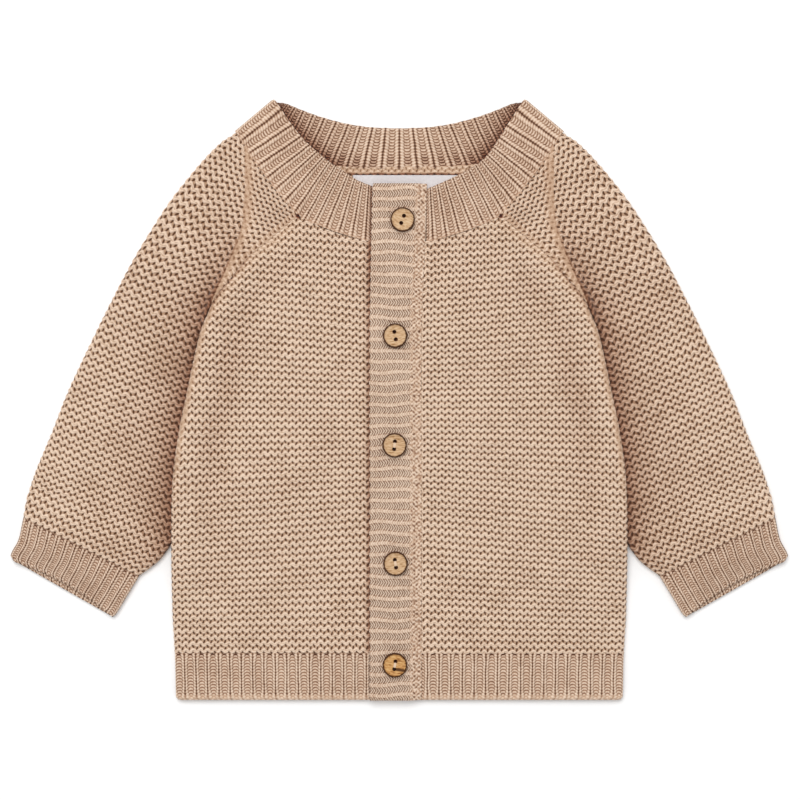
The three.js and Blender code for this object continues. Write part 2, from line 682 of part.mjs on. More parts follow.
function buttonBand() {
  const left = OPENING_LEFT_X + SEAM;
  const outer = [];
  const inner = [];
  for (const y of [BUTTON_BAND_TOP_Y, 60, 0, -60, -120, HEM_Y]) {
    const columns = [left, mix(left, BUTTON_BAND_RIGHT_X, 0.5), BUTTON_BAND_RIGHT_X];
    outer.push(columns.map((x) => point(x, y, FRONT_TOP)));
    inner.push(columns.map((x) => point(x, y, FRONT_Z)));
  }
  return wall(outer, inner);
}

function neckLabel() {
  const shape = new THREE.Shape();
  const left = LABEL_X - LABEL_W / 2;
  const right = LABEL_X + LABEL_W / 2;
  const corner = LABEL_CORNER_R;
  shape.moveTo(left, LABEL_TOP_Y - LABEL_H);
  shape.lineTo(right, LABEL_TOP_Y - LABEL_H);
  shape.lineTo(right, LABEL_TOP_Y - corner);
  shape.quadraticCurveTo(right, LABEL_TOP_Y, right - corner, LABEL_TOP_Y);
  shape.lineTo(left + corner, LABEL_TOP_Y);
  shape.quadraticCurveTo(left, LABEL_TOP_Y, left, LABEL_TOP_Y - corner);
  const strip = { depth: LABEL_T, bevelEnabled: false, curveSegments: 3 };
  const geometry = new THREE.ExtrudeGeometry(shape, strip);
  return geometry.translate(0, 0, CLOTH + (LAYER_GAP - LABEL_T) / 2);
}

const wasm = await Module();
wasm.setup();

function solidOf(geometry) {
  const bare = geometry.clone();
  bare.deleteAttribute('normal');
  bare.deleteAttribute('uv');
  const merged = mergeVertices(bare, 1e-4);
  return new wasm.Manifold(new wasm.Mesh({
    numProp: 3,
    vertProperties: merged.attributes.position.array,
    triVerts: new Uint32Array(merged.index.array),
  }));
}

function geometryOf(solid) {
  const mesh = solid.getMesh();
  const geometry = new THREE.BufferGeometry();
  geometry.setAttribute('position', new THREE.Float32BufferAttribute(mesh.vertProperties, 3));
  geometry.setIndex(Array.from(mesh.triVerts));
  return geometry;
}

// A turned wooden disc with a raised rim, its face dished a little inside the rim, and two thread holes
function button() {
  const profile = [
    [0, 0],
    [BUTTON_R - BUTTON_EDGE_R, 0],
    [BUTTON_R, BUTTON_EDGE_R],
    [BUTTON_R, BUTTON_H - BUTTON_EDGE_R],
    [BUTTON_R - BUTTON_EDGE_R * 0.6, BUTTON_H],
    [BUTTON_R - BUTTON_RIM, BUTTON_H - 0.1],
    [BUTTON_R - BUTTON_RIM - 0.4, BUTTON_H - BUTTON_DISH],
    [0, BUTTON_H - BUTTON_DISH],
  ].map(([radius, height]) => new THREE.Vector2(radius, height));
  const disc = new THREE.LatheGeometry(profile, 28).rotateX(Math.PI / 2);
  let solid = solidOf(disc);
  for (const side of [-1, 1]) {
    const drill = new THREE.CylinderGeometry(HOLE_R, HOLE_R, BUTTON_H * 3, 8).rotateX(Math.PI / 2);
    solid = solid.subtract(solidOf(drill.translate(0, (side * HOLE_SPACING) / 2, 0)));
  }
  return geometryOf(solid);
}

addPiece('back_panel', backPanel(), WOOL);
addPiece('hem_rib_back', backHem(), WOOL);
addPiece('front_left', frontPanel(() => OPENING_LEFT_X), WOOL);
addPiece('hem_rib_front_left', frontHem(OPENING_LEFT_X), WOOL);

const rightOpeningX = (y) => -readTable(PLACKET_ROWS, 'y', y).rightX - SEAM;
addPiece('front_right', mirrored(frontPanel(rightOpeningX)), WOOL);
addPiece('hem_rib_front_right', mirrored(frontHem(rightOpeningX(HEM_JOIN_Y))), WOOL);

const leftSleeve = sleeve();
addPiece('sleeve_left', leftSleeve, WOOL);
addPiece('sleeve_right', mirrored(leftSleeve), WOOL);
const leftCuff = cuff();
addPiece('cuff_left', leftCuff, WOOL);
addPiece('cuff_right', mirrored(leftCuff), WOOL);

addPiece('neckband', neckband(), WOOL);
addPiece('button_band', buttonBand(), WOOL);
addPiece('placket', placket(), WOOL);
addPiece('neck_label', neckLabel(), SATIN);

BUTTONS.forEach((place, i) => {
  const mesh = addPiece(`button_${i + 1}`, button(), WOOD);
  mesh.position.set(place.x, place.y, BUTTON_Z);
  mesh.rotation.z = THREE.MathUtils.degToRad(place.turnDeg);
});

export default cardigan;
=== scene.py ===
# Baby cardigan in beige wool, knitted in garter stitch with 1x1 rib bands and laid flat, seen from above.
# Lengths are millimetres unless a name says otherwise, and MM turns them into the frame's metres.
import math

import bmesh
import bpy
import numpy as np
from mathutils import Matrix


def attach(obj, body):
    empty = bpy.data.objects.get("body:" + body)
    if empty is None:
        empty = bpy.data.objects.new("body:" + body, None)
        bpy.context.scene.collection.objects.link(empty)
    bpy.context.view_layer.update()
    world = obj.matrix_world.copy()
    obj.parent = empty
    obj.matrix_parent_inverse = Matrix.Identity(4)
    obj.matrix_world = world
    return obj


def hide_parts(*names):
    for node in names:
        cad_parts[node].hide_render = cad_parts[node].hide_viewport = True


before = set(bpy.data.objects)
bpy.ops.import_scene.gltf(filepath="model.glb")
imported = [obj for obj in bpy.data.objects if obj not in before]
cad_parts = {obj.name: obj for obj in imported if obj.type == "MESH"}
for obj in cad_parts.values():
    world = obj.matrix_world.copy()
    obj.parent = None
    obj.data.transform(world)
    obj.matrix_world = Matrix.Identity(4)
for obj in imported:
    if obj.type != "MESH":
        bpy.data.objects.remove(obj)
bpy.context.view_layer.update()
MM = 0.001

# Table top
# A plain pale board under the garment, wide enough to fill every view. It isn't part of the garment.
FLOOR_SIZE = 6000
FLOOR_COLOUR = "#fbfbfb"


def to_linear(hex_colour):
    channels = [int(hex_colour[i:i + 2], 16) / 255 for i in (1, 3, 5)]
    return tuple(c / 12.92 if c <= 0.04045 else ((c + 0.055) / 1.055) ** 2.4 for c in channels) + (1.0,)


def add(tree, kind, *inputs, named=None, **settings):
    """A new node with its inputs linked or set, or a Math node where kind is an operation in capitals."""
    node = tree.nodes.new("ShaderNodeMath" if kind.isupper() else kind)
    if kind.isupper():
        node.operation = kind
    for name, value in settings.items():
        setattr(node, name, value)
    for place, value in [*enumerate(inputs), *(named or {}).items()]:
        if isinstance(value, bpy.types.NodeSocket):
            tree.links.new(value, node.inputs[place])
        elif value is not None:
            node.inputs[place].default_value = value
    return node.outputs[0]


def new_material(name, roughness):
    """An empty node material with a Principled shader, returned with its tree."""
    material = bpy.data.materials.new(name)
    material.use_nodes = True
    tree = material.node_tree
    shader = tree.nodes["Principled BSDF"]
    shader.inputs["Roughness"].default_value = roughness
    return material, tree, shader


def link_mesh(name, mesh, material):
    """A new object at the origin that shows this mesh."""
    mesh.materials.append(material)
    piece = bpy.data.objects.new(name, mesh)
    bpy.context.scene.collection.objects.link(piece)
    return piece


board, _, board_shader = new_material("pale matt board", 0.9)
board_shader.inputs["Base Color"].default_value = to_linear(FLOOR_COLOUR)
floor_bm = bmesh.new()
bmesh.ops.create_grid(floor_bm, x_segments=1, y_segments=1, size=FLOOR_SIZE / 2 * MM)
floor_mesh = bpy.data.meshes.new("table_top")
floor_bm.to_mesh(floor_mesh)
floor = link_mesh("table_top", floor_mesh, board)
floor.location.z = -0.0002

# Left and right fronts
# Wool in garter stitch, 2.2 mm thick. The raglan edges are fashioned, the side edges sewn to the back, and
# the opening edges carry the two bands. Beside the raglan each front lies up on the sleeve tucked under it.
CLOTH = 2.2
SEAM = 0.3
LAYER_GAP = 0.8
FRONT_Z = CLOTH + LAYER_GAP
FRONT_TOP = FRONT_Z + CLOTH
FOLD_R = FRONT_TOP / 2
EDGE_BLUNT = 0.12
TUCK_LIFT = FRONT_TOP + SEAM
HEM_Y = -165.0
HEM_JOIN_Y = -139.2
UNDERARM_Y = 44.8
NECK_FRONT_Y = 86.6
NECK_SAG = -2.2
OPENING_LEFT_X = -15.0
CREASE_FLAT = 6.5
CREASE_FADE = 24
CREASE_STEP = 4.5
FRONT_CROWN = 0.9
STITCH = 3.9  # width of one stitch
RIDGE_LEFT = 3.86  # height of one garter ridge on each front
RIDGE_RIGHT = 3.68
RIDGE_RELIEF = 0.95  # from the bottom of a valley to the top of a ridge
GRAIN = 0.68  # spacing of a fine surface's points


def table(columns, *rows):
    return {name: np.array([row[i] for row in rows], float) for i, name in enumerate(columns.split())}


SIDE_EDGE = table(
    "x y",
    (-122.8, HEM_Y), (-123.4, HEM_JOIN_Y), (-124.7, -115.8), (-124.7, -77.8), (-123.9, -42.6),
    (-120.0, -14.0), (-117.0, 0), (-112.4, 22.3), (-108.5, 38.2), (-105.8, UNDERARM_Y),
)
RAGLAN_FRONT = table(
    "at x y",
    (0, -105.8, UNDERARM_Y), (0.15, -99.7, 56.4), (0.3, -92.6, 65.2), (0.48, -83.8, 76.2),
    (0.65, -73.9, 85.0), (0.82, -64.0, 93.2), (1, -55.2, 100.9),
)
CREASE = table("y x", (115.0, -84.9), (95.4, -86.5), (72.3, -95.3), (55.5, -102.7), (UNDERARM_Y, -105.8))
CREASE_LIFT = table(
    "y lift",
    (115.0, 0), (95.4, 0.8), (72.3, 2.6), (55.5, 4.7), (UNDERARM_Y, TUCK_LIFT), (-74.0, TUCK_LIFT),
    (-84.0, TUCK_LIFT * 0.9), (-112.0, 0),
)
PLACKET_ROWS = table(
    "y left right",
    (118.5, -14.7, 15.2), (85.5, -15.6, 14.2), (38.2, -16.4, 12.3), (-50, -16.4, 12.3), (HEM_Y, -16.4, 12.3),
)
# How the garter ridges slope across a front, at heights
ROW_SLOPE = table(
    "y slope",
    (110, -0.06), (45, -0.09), (-5, -0.01), (-60, 0.08), (-105, 0.05), (HEM_JOIN_Y, 0),
)
SEAM_LEAN = 0.75  # from a distance along a row to one square to the raglan
PLACKET_LEFT_REACH = -1.4  # the buttonhole band covers the left front's opening edge by this much
# Soft undulations of the laid cloth: place, direction in degrees, half length, half width, height
SOFT_FOLDS = table(
    "x y turn long wide high",
    (-62, 52, 58, 42, 9, 0.9), (-70, -40, 82, 60, 14, 0.7), (-40, -95, 12, 40, 12, 0.6),
    (-92, 5, 70, 45, 8, 0.8), (58, 48, 124, 45, 9, 0.8), (75, -55, 96, 55, 13, 0.8),
    (38, -20, 30, 30, 12, 0.5), (90, -100, 150, 30, 10, 0.6), (-148, 60, 40, 45, 10, 1.1),
    (-160, 0, 62, 60, 9, 1.2), (-140, -30, 75, 40, 8, 1.0), (-180, -40, 50, 30, 9, 0.9),
    (146, 62, 138, 42, 10, 1.1), (162, 5, 116, 55, 9, 1.2), (142, -35, 106, 42, 8, 1.0),
    (182, -38, 128, 32, 9, 0.9),
)


def mix(a, b, t):
    return a + (b - a) * t


def ease(t):
    c = np.clip(t, 0, 1)
    return c * c * (3 - 2 * c)


def read_table(rows, key, at):
    """Reads a table of sections at any places on its key column, with smooth tangents between its rows."""
    keys = rows[key]
    sign = np.sign(keys[-1] - keys[0])
    at = np.asarray(at, float)
    i = np.clip(np.searchsorted(keys * sign, at * sign) - 1, 0, len(keys) - 2)
    before = np.maximum(i - 1, 0)
    after = np.minimum(i + 2, len(keys) - 1)
    span = keys[i + 1] - keys[i]
    t = np.clip((at - keys[i]) / span, 0, 1)
    found = {}
    for name, value in rows.items():
        start = (value[i + 1] - value[before]) / (keys[i + 1] - keys[before]) * span
        end = (value[after] - value[i]) / (keys[after] - keys[i]) * span
        cubic = (2 * t**3 - 3 * t**2 + 1) * value[i] + (3 * t**2 - 2 * t**3) * value[i + 1]
        found[name] = cubic + (t**3 - 2 * t**2 + t) * start + (t**3 - t**2) * end
    return found


def lift_at(x, y):
    """Rise of every layer over the tucked sleeve, at points of the left half."""
    crease = np.where(y > UNDERARM_Y, read_table(CREASE, "y", y)["x"], read_table(SIDE_EDGE, "y", y)["x"])
    lift = np.clip(read_table(CREASE_LIFT, "y", y)["lift"], 0, TUCK_LIFT)
    inward = x - crease
    outside = 1 - ease(-inward / CREASE_STEP)
    inside = 1 - ease((inward - CREASE_FLAT) / (CREASE_FADE - CREASE_FLAT))
    return lift * np.where(inward < 0, outside, inside)


def edge_drop(distance):
    """How far a rounded edge has dropped at a distance from it."""
    reach = np.clip(1 - (distance + EDGE_BLUNT) / FOLD_R, 0, 1)
    return FOLD_R * (1 - np.sqrt(1 - reach * reach))


def soft_folds(x, y):
    """Height of the listed undulations, over the whole garment."""
    high = np.zeros_like(x)
    for i in range(len(SOFT_FOLDS["x"])):
        turn = math.radians(SOFT_FOLDS["turn"][i])
        dx = x - SOFT_FOLDS["x"][i]
        dy = y - SOFT_FOLDS["y"][i]
        along = (dx * math.cos(turn) + dy * math.sin(turn)) / SOFT_FOLDS["long"][i]
        aside = (dy * math.cos(turn) - dx * math.sin(turn)) / SOFT_FOLDS["wide"][i]
        high = high + SOFT_FOLDS["high"][i] * np.exp(-along * along - aside * aside)
    return high


def corner_hole(x, y):
    """Shadow of the small hole where the raglan seam meets the neckband."""
    return 6 * np.exp(-((x + 55.6) ** 2 + (y - 100.7) ** 2) / 0.9)


def garter_relief(a, v):
    """Height of garter stitch about its mean: a counts stitches across, v counts ridges down."""
    wave = np.cos(2 * np.pi * a)
    w = v + 0.125 * wave - 0.675
    ridge = 0.5 + 0.5 * np.cos(2 * np.pi * w)
    bumps = -0.28 * wave * np.sin(2 * np.pi * w) * ridge
    return RIDGE_RELIEF * (ridge + bumps - 0.55)


def shell(name, points, knit, material, plain=0):
    """A closed skin from rings of points, rows by columns, whose last column meets the first one. plain is 1
    where the stitches hardly show."""
    rows, columns = points.shape[:2]
    bm = bmesh.new()
    bmesh.ops.create_grid(bm, x_segments=columns - 1, y_segments=rows - 1, size=1)
    mesh = bpy.data.meshes.new(name)
    bm.to_mesh(mesh)
    mesh.vertices.foreach_set("co", (points * MM).astype(np.float32).ravel())
    stitches = mesh.attributes.new("knit", "FLOAT_VECTOR", "POINT")
    stitches.data.foreach_set("vector", knit.astype(np.float32).ravel())
    plainness = mesh.attributes.new("plain", "FLOAT", "POINT")
    plainness.data.foreach_set("value", (plain + 0 * points[..., 0]).astype(np.float32).ravel())
    bm.clear()
    bm.from_mesh(mesh)
    meeting = [v for v in bm.verts if v.index % columns in (0, columns - 1)]
    bmesh.ops.remove_doubles(bm, verts=meeting, dist=0.001 * MM)
    open_edges = [e for e in bm.edges if e.is_boundary]
    caps = bmesh.ops.holes_fill(bm, edges=open_edges, sides=0)["faces"]
    bmesh.ops.triangulate(bm, faces=caps)
    if bm.calc_volume(signed=True) < 0:
        bmesh.ops.reverse_faces(bm, faces=bm.faces)
    for face in bm.faces:
        face.smooth = True
    bm.to_mesh(mesh)
    bm.free()
    return link_mesh(name, mesh, material)


def lay(piece, node):
    """Hangs a finished sheet of knitting on the body and hides the CAD node that it stands for."""
    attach(piece, "root")
    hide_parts(node)


def yarn(name, pattern, tones=("#5e381a", "#a48064", "#c5a58a", "#e9d0b9"), low=-0.7, high=0.95, wander=0.5):
    """Matt plied yarn. pattern turns the stitch coordinates into a height that colours and embosses it: the
    low places take the dark end of tones, painted shade in the gaps between strands. The third coordinate
    is how deep in painted shadow the cloth lies, which darkens the gaps first. wander is how far the
    stitches stray sideways."""
    material, tree, shader = new_material(name, 0.95)
    stitches = tree.nodes.new("ShaderNodeAttribute")
    stitches.attribute_name = "knit"
    where = tree.nodes.new("ShaderNodeTexCoord").outputs["Object"]
    unevenness = add(tree, "ShaderNodeTexNoise", where, named={"Scale": 1 / (8 * MM), "Detail": 3.0})
    drift = unevenness.node.outputs["Color"]
    drift = add(tree, "ShaderNodeVectorMath", drift, (0.5, 0.5, 0.5), operation="SUBTRACT")
    drift = add(tree, "ShaderNodeVectorMath", drift, (wander, 0.5, 0), operation="MULTIPLY")
    moved = add(tree, "ShaderNodeVectorMath", stitches.outputs["Vector"], drift, operation="ADD")
    split = add(tree, "ShaderNodeSeparateXYZ", moved).node.outputs
    shadow = split["Z"]
    plain = tree.nodes.new("ShaderNodeAttribute")
    plain.attribute_name = "plain"
    height = pattern(tree, split["X"], split["Y"], plain.outputs["Fac"])
    fibre_noise = {"Scale": 1 / (0.45 * MM), "Detail": 3.0, "Roughness": 0.7}
    fibres = add(tree, "ShaderNodeTexNoise", where, named=fibre_noise)
    clouds = add(tree, "ShaderNodeTexNoise", where, named={"Scale": 1 / (14 * MM), "Detail": 2.0})
    mottle = add(tree, "ShaderNodeTexNoise", where, named={"Scale": 1 / (1.5 * MM), "Detail": 2.0})
    level = add(tree, "ShaderNodeMapRange", height, low, high, interpolation_type="SMOOTHSTEP")
    tone = add(tree, "MULTIPLY_ADD", fibres, 0.5, -0.25)
    tone = add(tree, "ADD", add(tree, "MULTIPLY_ADD", clouds, 0.3, -0.15), tone)
    tone = add(tree, "ADD", add(tree, "MULTIPLY_ADD", mottle, 0.7, -0.35), tone)
    deepening = add(tree, "MULTIPLY", shadow, add(tree, "MULTIPLY_ADD", level, 0.4, -0.55))
    tone = add(tree, "ADD", deepening, tone)
    level = add(tree, "ADD", level, tone, use_clamp=True)
    ramp = tree.nodes.new("ShaderNodeValToRGB")
    ramp.color_ramp.elements[0].color = to_linear(tones[0])
    ramp.color_ramp.elements[1].color = to_linear(tones[3])
    ramp.color_ramp.elements.new(0.36).color = to_linear(tones[1])
    ramp.color_ramp.elements.new(0.68).color = to_linear(tones[2])
    tree.links.new(level, ramp.inputs[0])
    shaded = tree.nodes.new("ShaderNodeMix")
    shaded.data_type = "RGBA"
    shaded.blend_type = "MULTIPLY"
    tree.links.new(add(tree, "MULTIPLY", shadow, 0.4), shaded.inputs["Factor"])
    tree.links.new(ramp.outputs[0], shaded.inputs[6])
    # The warm brown that painted shadow multiplies the yarn towards.
    shaded.inputs[7].default_value = to_linear("#a8683f")
    tree.links.new(shaded.outputs[2], shader.inputs["Base Color"])
    shader.inputs["Sheen Weight"].default_value = 0.08
    shader.inputs["Sheen Roughness"].default_value = 0.5
    embossed = add(tree, "ShaderNodeBump", named={"Strength": 0.8, "Distance": 0.45 * MM, "Height": height})
    hairy = add(tree, "ShaderNodeBump", named={
        "Strength": 0.5, "Distance": 0.15 * MM, "Height": fibres, "Normal": embossed,
    })
    tree.links.new(hairy, shader.inputs["Normal"])
    return material


def garter_height(tree, a, v, plain):
    """Two rows of interlocked strands to each ridge, and two slanting gaps to each stitch in the valley."""
    wave = add(tree, "COSINE", add(tree, "MULTIPLY", a, 2 * math.pi))
    w = add(tree, "FRACT", add(tree, "MULTIPLY_ADD", wave, 0.125, add(tree, "SUBTRACT", v, 0.175)))
    height = 0.24
    for middle, raised in ((0.36, 0.35), (0.68, -0.35)):
        aside = add(tree, "MULTIPLY", add(tree, "SUBTRACT", w, middle), 1 / 0.2)
        strand = add(tree, "MULTIPLY_ADD", add(tree, "MULTIPLY", aside, aside), -1, 0.95)
        strand = add(tree, "MULTIPLY_ADD", wave, raised, strand)
        height = add(tree, "MAXIMUM", height, strand)
    for across, down, lean in ((0, 0, 0.32), (0.5, 0.35, -0.32)):
        along = add(tree, "SUBTRACT", add(tree, "FRACT", add(tree, "ADD", v, 0.5 - down)), 0.5)
        aside = add(tree, "SUBTRACT", add(tree, "FRACT", add(tree, "ADD", a, 0.5 - across)), 0.5)
        aside = add(tree, "MULTIPLY", add(tree, "MULTIPLY_ADD", along, -lean, aside), 1 / 0.14)
        along = add(tree, "MULTIPLY", along, 1 / 0.29)
        gap = add(tree, "MULTIPLY_ADD", along, along, add(tree, "MULTIPLY", aside, aside))
        gap = add(tree, "SUBTRACT", 1, gap)
        height = add(tree, "MULTIPLY_ADD", add(tree, "MAXIMUM", gap, 0), -1.7, height)
    return add(tree, "ShaderNodeMix", plain, None, height, 0.22)


garter = yarn("wool garter stitch", garter_height)


def front(name, opening_x, ridge, side, material):
    """One front on the left half, mirrored for the right. opening_x gives its opening edge at a height."""
    side_y = np.arange(HEM_JOIN_Y - 0.3, UNDERARM_Y - GRAIN / 2, GRAIN)
    at = np.linspace(0, 1, int(70 / GRAIN))
    raglan = read_table(RAGLAN_FRONT, "at", at)
    raglan_x = raglan["x"] - 0.35 * ease(at / 0.1) - 0.3 * ease((at - 0.35) / 0.2)
    start_x = np.concatenate([read_table(SIDE_EDGE, "y", side_y)["x"], raglan_x])[:, None]
    start_y = np.concatenate([side_y, raglan["y"]])[:, None]
    far_y = np.concatenate([side_y, mix(UNDERARM_Y, NECK_FRONT_Y + SEAM, at)])[:, None]
    bow = np.concatenate([0 * side_y, NECK_SAG * at])[:, None]
    rounded = np.concatenate([1 + 0 * side_y, 1 - ease(at / 0.08)])[:, None]
    seam_share = np.concatenate([0 * side_y, at])[:, None]
    far_x = opening_x(far_y)
    rows = len(start_x)
    along = np.linspace(0, 1, rows)[:, None]

    def surface(across):
        offset = (far_x - start_x) * across
        x = start_x + offset
        y = mix(start_y, far_y, across) + bow * 4 * across * (1 - across)
        crown = FRONT_CROWN * np.sin(np.pi * across) * np.sin(np.pi * along)
        return x, y, offset, lift_at(x, y) + soft_folds(side * x, y), crown

    top_across = np.linspace(0, 1, int(112 / GRAIN))[None, :]
    x, y, offset, lift, crown = surface(top_across)
    a = side * x / STITCH
    v = -(y - read_table(ROW_SLOPE, "y", y)["slope"] * (x + 65)) / ridge
    from_seam = offset * SEAM_LEAN
    plain = 0.6 * np.exp(-((from_seam - 1) / 3.4) ** 2) * (seam_share > 0) * ease((1.2 - seam_share) / 0.5)
    beside_crease = 0.85 * np.exp(-((offset - 0.8) / 2.6) ** 4) * ease((y + 75) / 50) * ease((62 - y) / 15)
    plain = np.maximum(plain, beside_crease)
    relief = garter_relief(a, v) * (1 - 0.8 * plain)
    to_opening = (far_x - start_x) - offset
    from_edge = np.minimum(offset, to_opening)
    inward = ease(from_edge / 2.4)
    top_seam = (1 - ease(from_seam / 1.5)) * (1 - rounded) * (1 - 0.8 * ease((seam_share - 0.4) / 0.2))
    z = FRONT_TOP + lift + crown - rounded * edge_drop(offset) + relief * inward - 0.45 * top_seam
    bulge = (1 - ease(offset / 2.4)) * rounded * relief * 0.6
    top = np.stack([x - bulge, y + 0 * x, z], axis=2)
    # Painted shade: beside the placket's free edge on the left front, in a soft trough inside the crease,
    # along the raglan seam and in the corner hole.
    edge_shadow = 1.7 * np.exp(-np.maximum(PLACKET_LEFT_REACH + to_opening, 0) / 1.1) if side > 0 else 0 * x
    trough_shade = 0.3 * np.exp(-((offset - 20) / 8) ** 2) * np.exp(-((y - 5) / 60) ** 2)
    seam_shade = np.exp(-((from_seam - 0.4) / 0.45) ** 2)
    seam_shade = seam_shade * ease(seam_share / 0.1) * ease((0.6 - seam_share) / 0.2)
    shadow = edge_shadow + trough_shade + 0.25 * top_seam + 0.6 * seam_shade + corner_hole(x, y)
    top_knit = np.stack([a, v, shadow], axis=2)
    low_across = np.linspace(1, 0, 16)[None, :]
    low_x, low_y, _, low_lift, low_crown = surface(low_across)
    low = np.stack([low_x, low_y, FRONT_Z + low_lift + low_crown * 0.5], axis=2)
    low_knit = np.stack([side * low_x / STITCH, -low_y / ridge, 0 * low_x], axis=2)
    points = np.concatenate([top, low, top[:, :1]], axis=1)
    knit = np.concatenate([top_knit, low_knit, top_knit[:, :1]], axis=1)
    points[..., 0] *= side
    plain = np.pad(plain, ((0, 0), (0, points.shape[1] - plain.shape[1])))
    piece = shell(name, points, knit, material, plain)
    lay(piece, name.removesuffix("_cloth"))


front("front_left_cloth", lambda y: OPENING_LEFT_X + 0 * y, RIDGE_LEFT, 1, garter)
front("front_right_cloth", lambda y: -read_table(PLACKET_ROWS, "y", y)["right"], RIDGE_RIGHT, -1, garter)

# Back
# One piece of garter stitch from side to side. It rests on the table, so its underside is flat, and only a
# strip of it shows inside the neck.
RAGLAN_BACK = table("at x y", (0, -105.8, UNDERARM_Y), (0.5, -84.6, 88.8), (1, -63.0, 132.9))
NECK_BACK_MIDDLE_Y = 126.9

back_side_y = np.arange(HEM_JOIN_Y + SEAM, UNDERARM_Y, 2.4)
back_at = np.concatenate([np.linspace(0, 0.7, 30), np.linspace(0.71, 1, 40)])
back_raglan = read_table(RAGLAN_BACK, "at", back_at)
back_half = -np.concatenate([read_table(SIDE_EDGE, "y", back_side_y)["x"], back_raglan["x"]])[:, None]
back_edge_y = np.concatenate([back_side_y, back_raglan["y"] - 0.4 * back_at])[:, None]
back_middle_y = np.concatenate([back_side_y, mix(UNDERARM_Y, NECK_BACK_MIDDLE_Y, back_at)])[:, None]
back_round = np.concatenate([1 + 0 * back_side_y, 1 - ease(back_at / 0.08)])[:, None]


def back_surface(from_middle):
    x = back_half * from_middle
    y = mix(back_middle_y, back_edge_y, from_middle**2)
    return x, y, lift_at(-np.abs(x), y)


back_x, back_y, back_lift = back_surface(np.linspace(-1, 1, 200)[None, :])
back_show = ease((back_y - 98) / 8)
back_relief = garter_relief(back_x / STITCH, -back_y / RIDGE_LEFT) * back_show * 0.7
under_across = np.concatenate([
    [1, 0.997, 0.99, 0.975], np.linspace(0.94, -0.94, 25), [-0.975, -0.99, -0.997, -1],
])
under_x, under_y, under_lift = back_surface(under_across[None, :])
under_z = under_lift + back_round * edge_drop(back_half - np.abs(under_x))
back_top = np.stack([back_x, back_y, CLOTH + back_lift + back_relief], axis=2)
back_under = np.stack([under_x, under_y, under_z], axis=2)
back_points = np.concatenate([back_top, back_under, back_top[:, :1]], axis=1)
back_knit = back_points * (1 / STITCH, -1 / RIDGE_LEFT, 0)
# A wavy line of painted shade along the label's top edge.
back_shade_line_y = 123.9 + 0.25 * np.sin(back_points[..., 0] / 2.6)
back_knit[..., 2] = 2.2 * np.exp(-((back_points[..., 1] - back_shade_line_y) / 0.6) ** 2)
back_plain = 0.7 * ease((back_points[..., 1] - 122) / 1.5)
back_piece = shell("back_panel_cloth", back_points, back_knit, garter, back_plain)
lay(back_piece, "back_panel")

# Sleeves
# Garter stitch knitted down from the neckband, its rows square to the sleeve, and folded flat: the front
# layer, the fold along the outer edge and the back layer on the table. The inner edges are sewn together.
SLEEVE_CROWN = 1.4
SLEEVE_DROP_Y = 27.5
SLEEVE_RAGLAN_AT = 0.59
SLEEVE_BACK_CLEAR = 0.4
SLEEVE_GAUGE = table(
    "at ridge stitch",
    (0, 3.95, 4.0), (0.3, 3.85, 4.4), (0.5, 4.1, 4.5), (0.7, 4.5, 4.6), (0.8, 4.6, 4.7), (0.87, 3.95, 4.9),
    (0.93, 3.3, 5.0), (1, 2.8, 5.0),
)
FOLD_TURNS = np.radians(np.arange(15, 180, 15))
SLEEVE_ROWS = table(
    "at inner_x inner_y fold_x fold_y crease bow",
    (0, -143.0, -96.7, -206.6, -64.4, 2.6, 0), (0.07, -136.2, -92.0, -204.8, -54.2, 2.6, 0),
    (0.1, -130.8, -87.0, -202.3, -46.2, 2.6, 0),
    (0.13, -124.3, -76.9, -199.3, -37.7, 2.6, 0), (0.2, -120.5, -55.3, -192.1, -20.6, 2.6, 0),
    (0.29, -117.5, -30.5, -182.8, 3.0, 2.6, 0), (0.38, -112.9, -5.8, -173.4, 23.4, 2.6, 0),
    (0.46, -112.3, 14.5, -164.1, 42.6, 2.6, 0), (0.53, -111.0, 30.0, -158.0, 54.7, 2.6, 0),
    (0.59, -106.2, UNDERARM_Y, -152.0, 66.3, 2.6, 0), (0.65, -100.2, 56.4, -145.4, 78.4, 3.2, -0.2),
    (0.71, -93.1, 65.3, -137.1, 92.1, 5.5, -0.4), (0.78, -84.3, 76.3, -127.2, 107.5, 9.7, -0.7),
    (0.85, -74.4, 85.2, -116.2, 121.8, 15, -1.1), (0.92, -64.5, 93.4, -104.7, 135.0, 19, -1.6),
    (1, -55.6, 101.0, -91.3, 147.5, 22, -2.4),
)


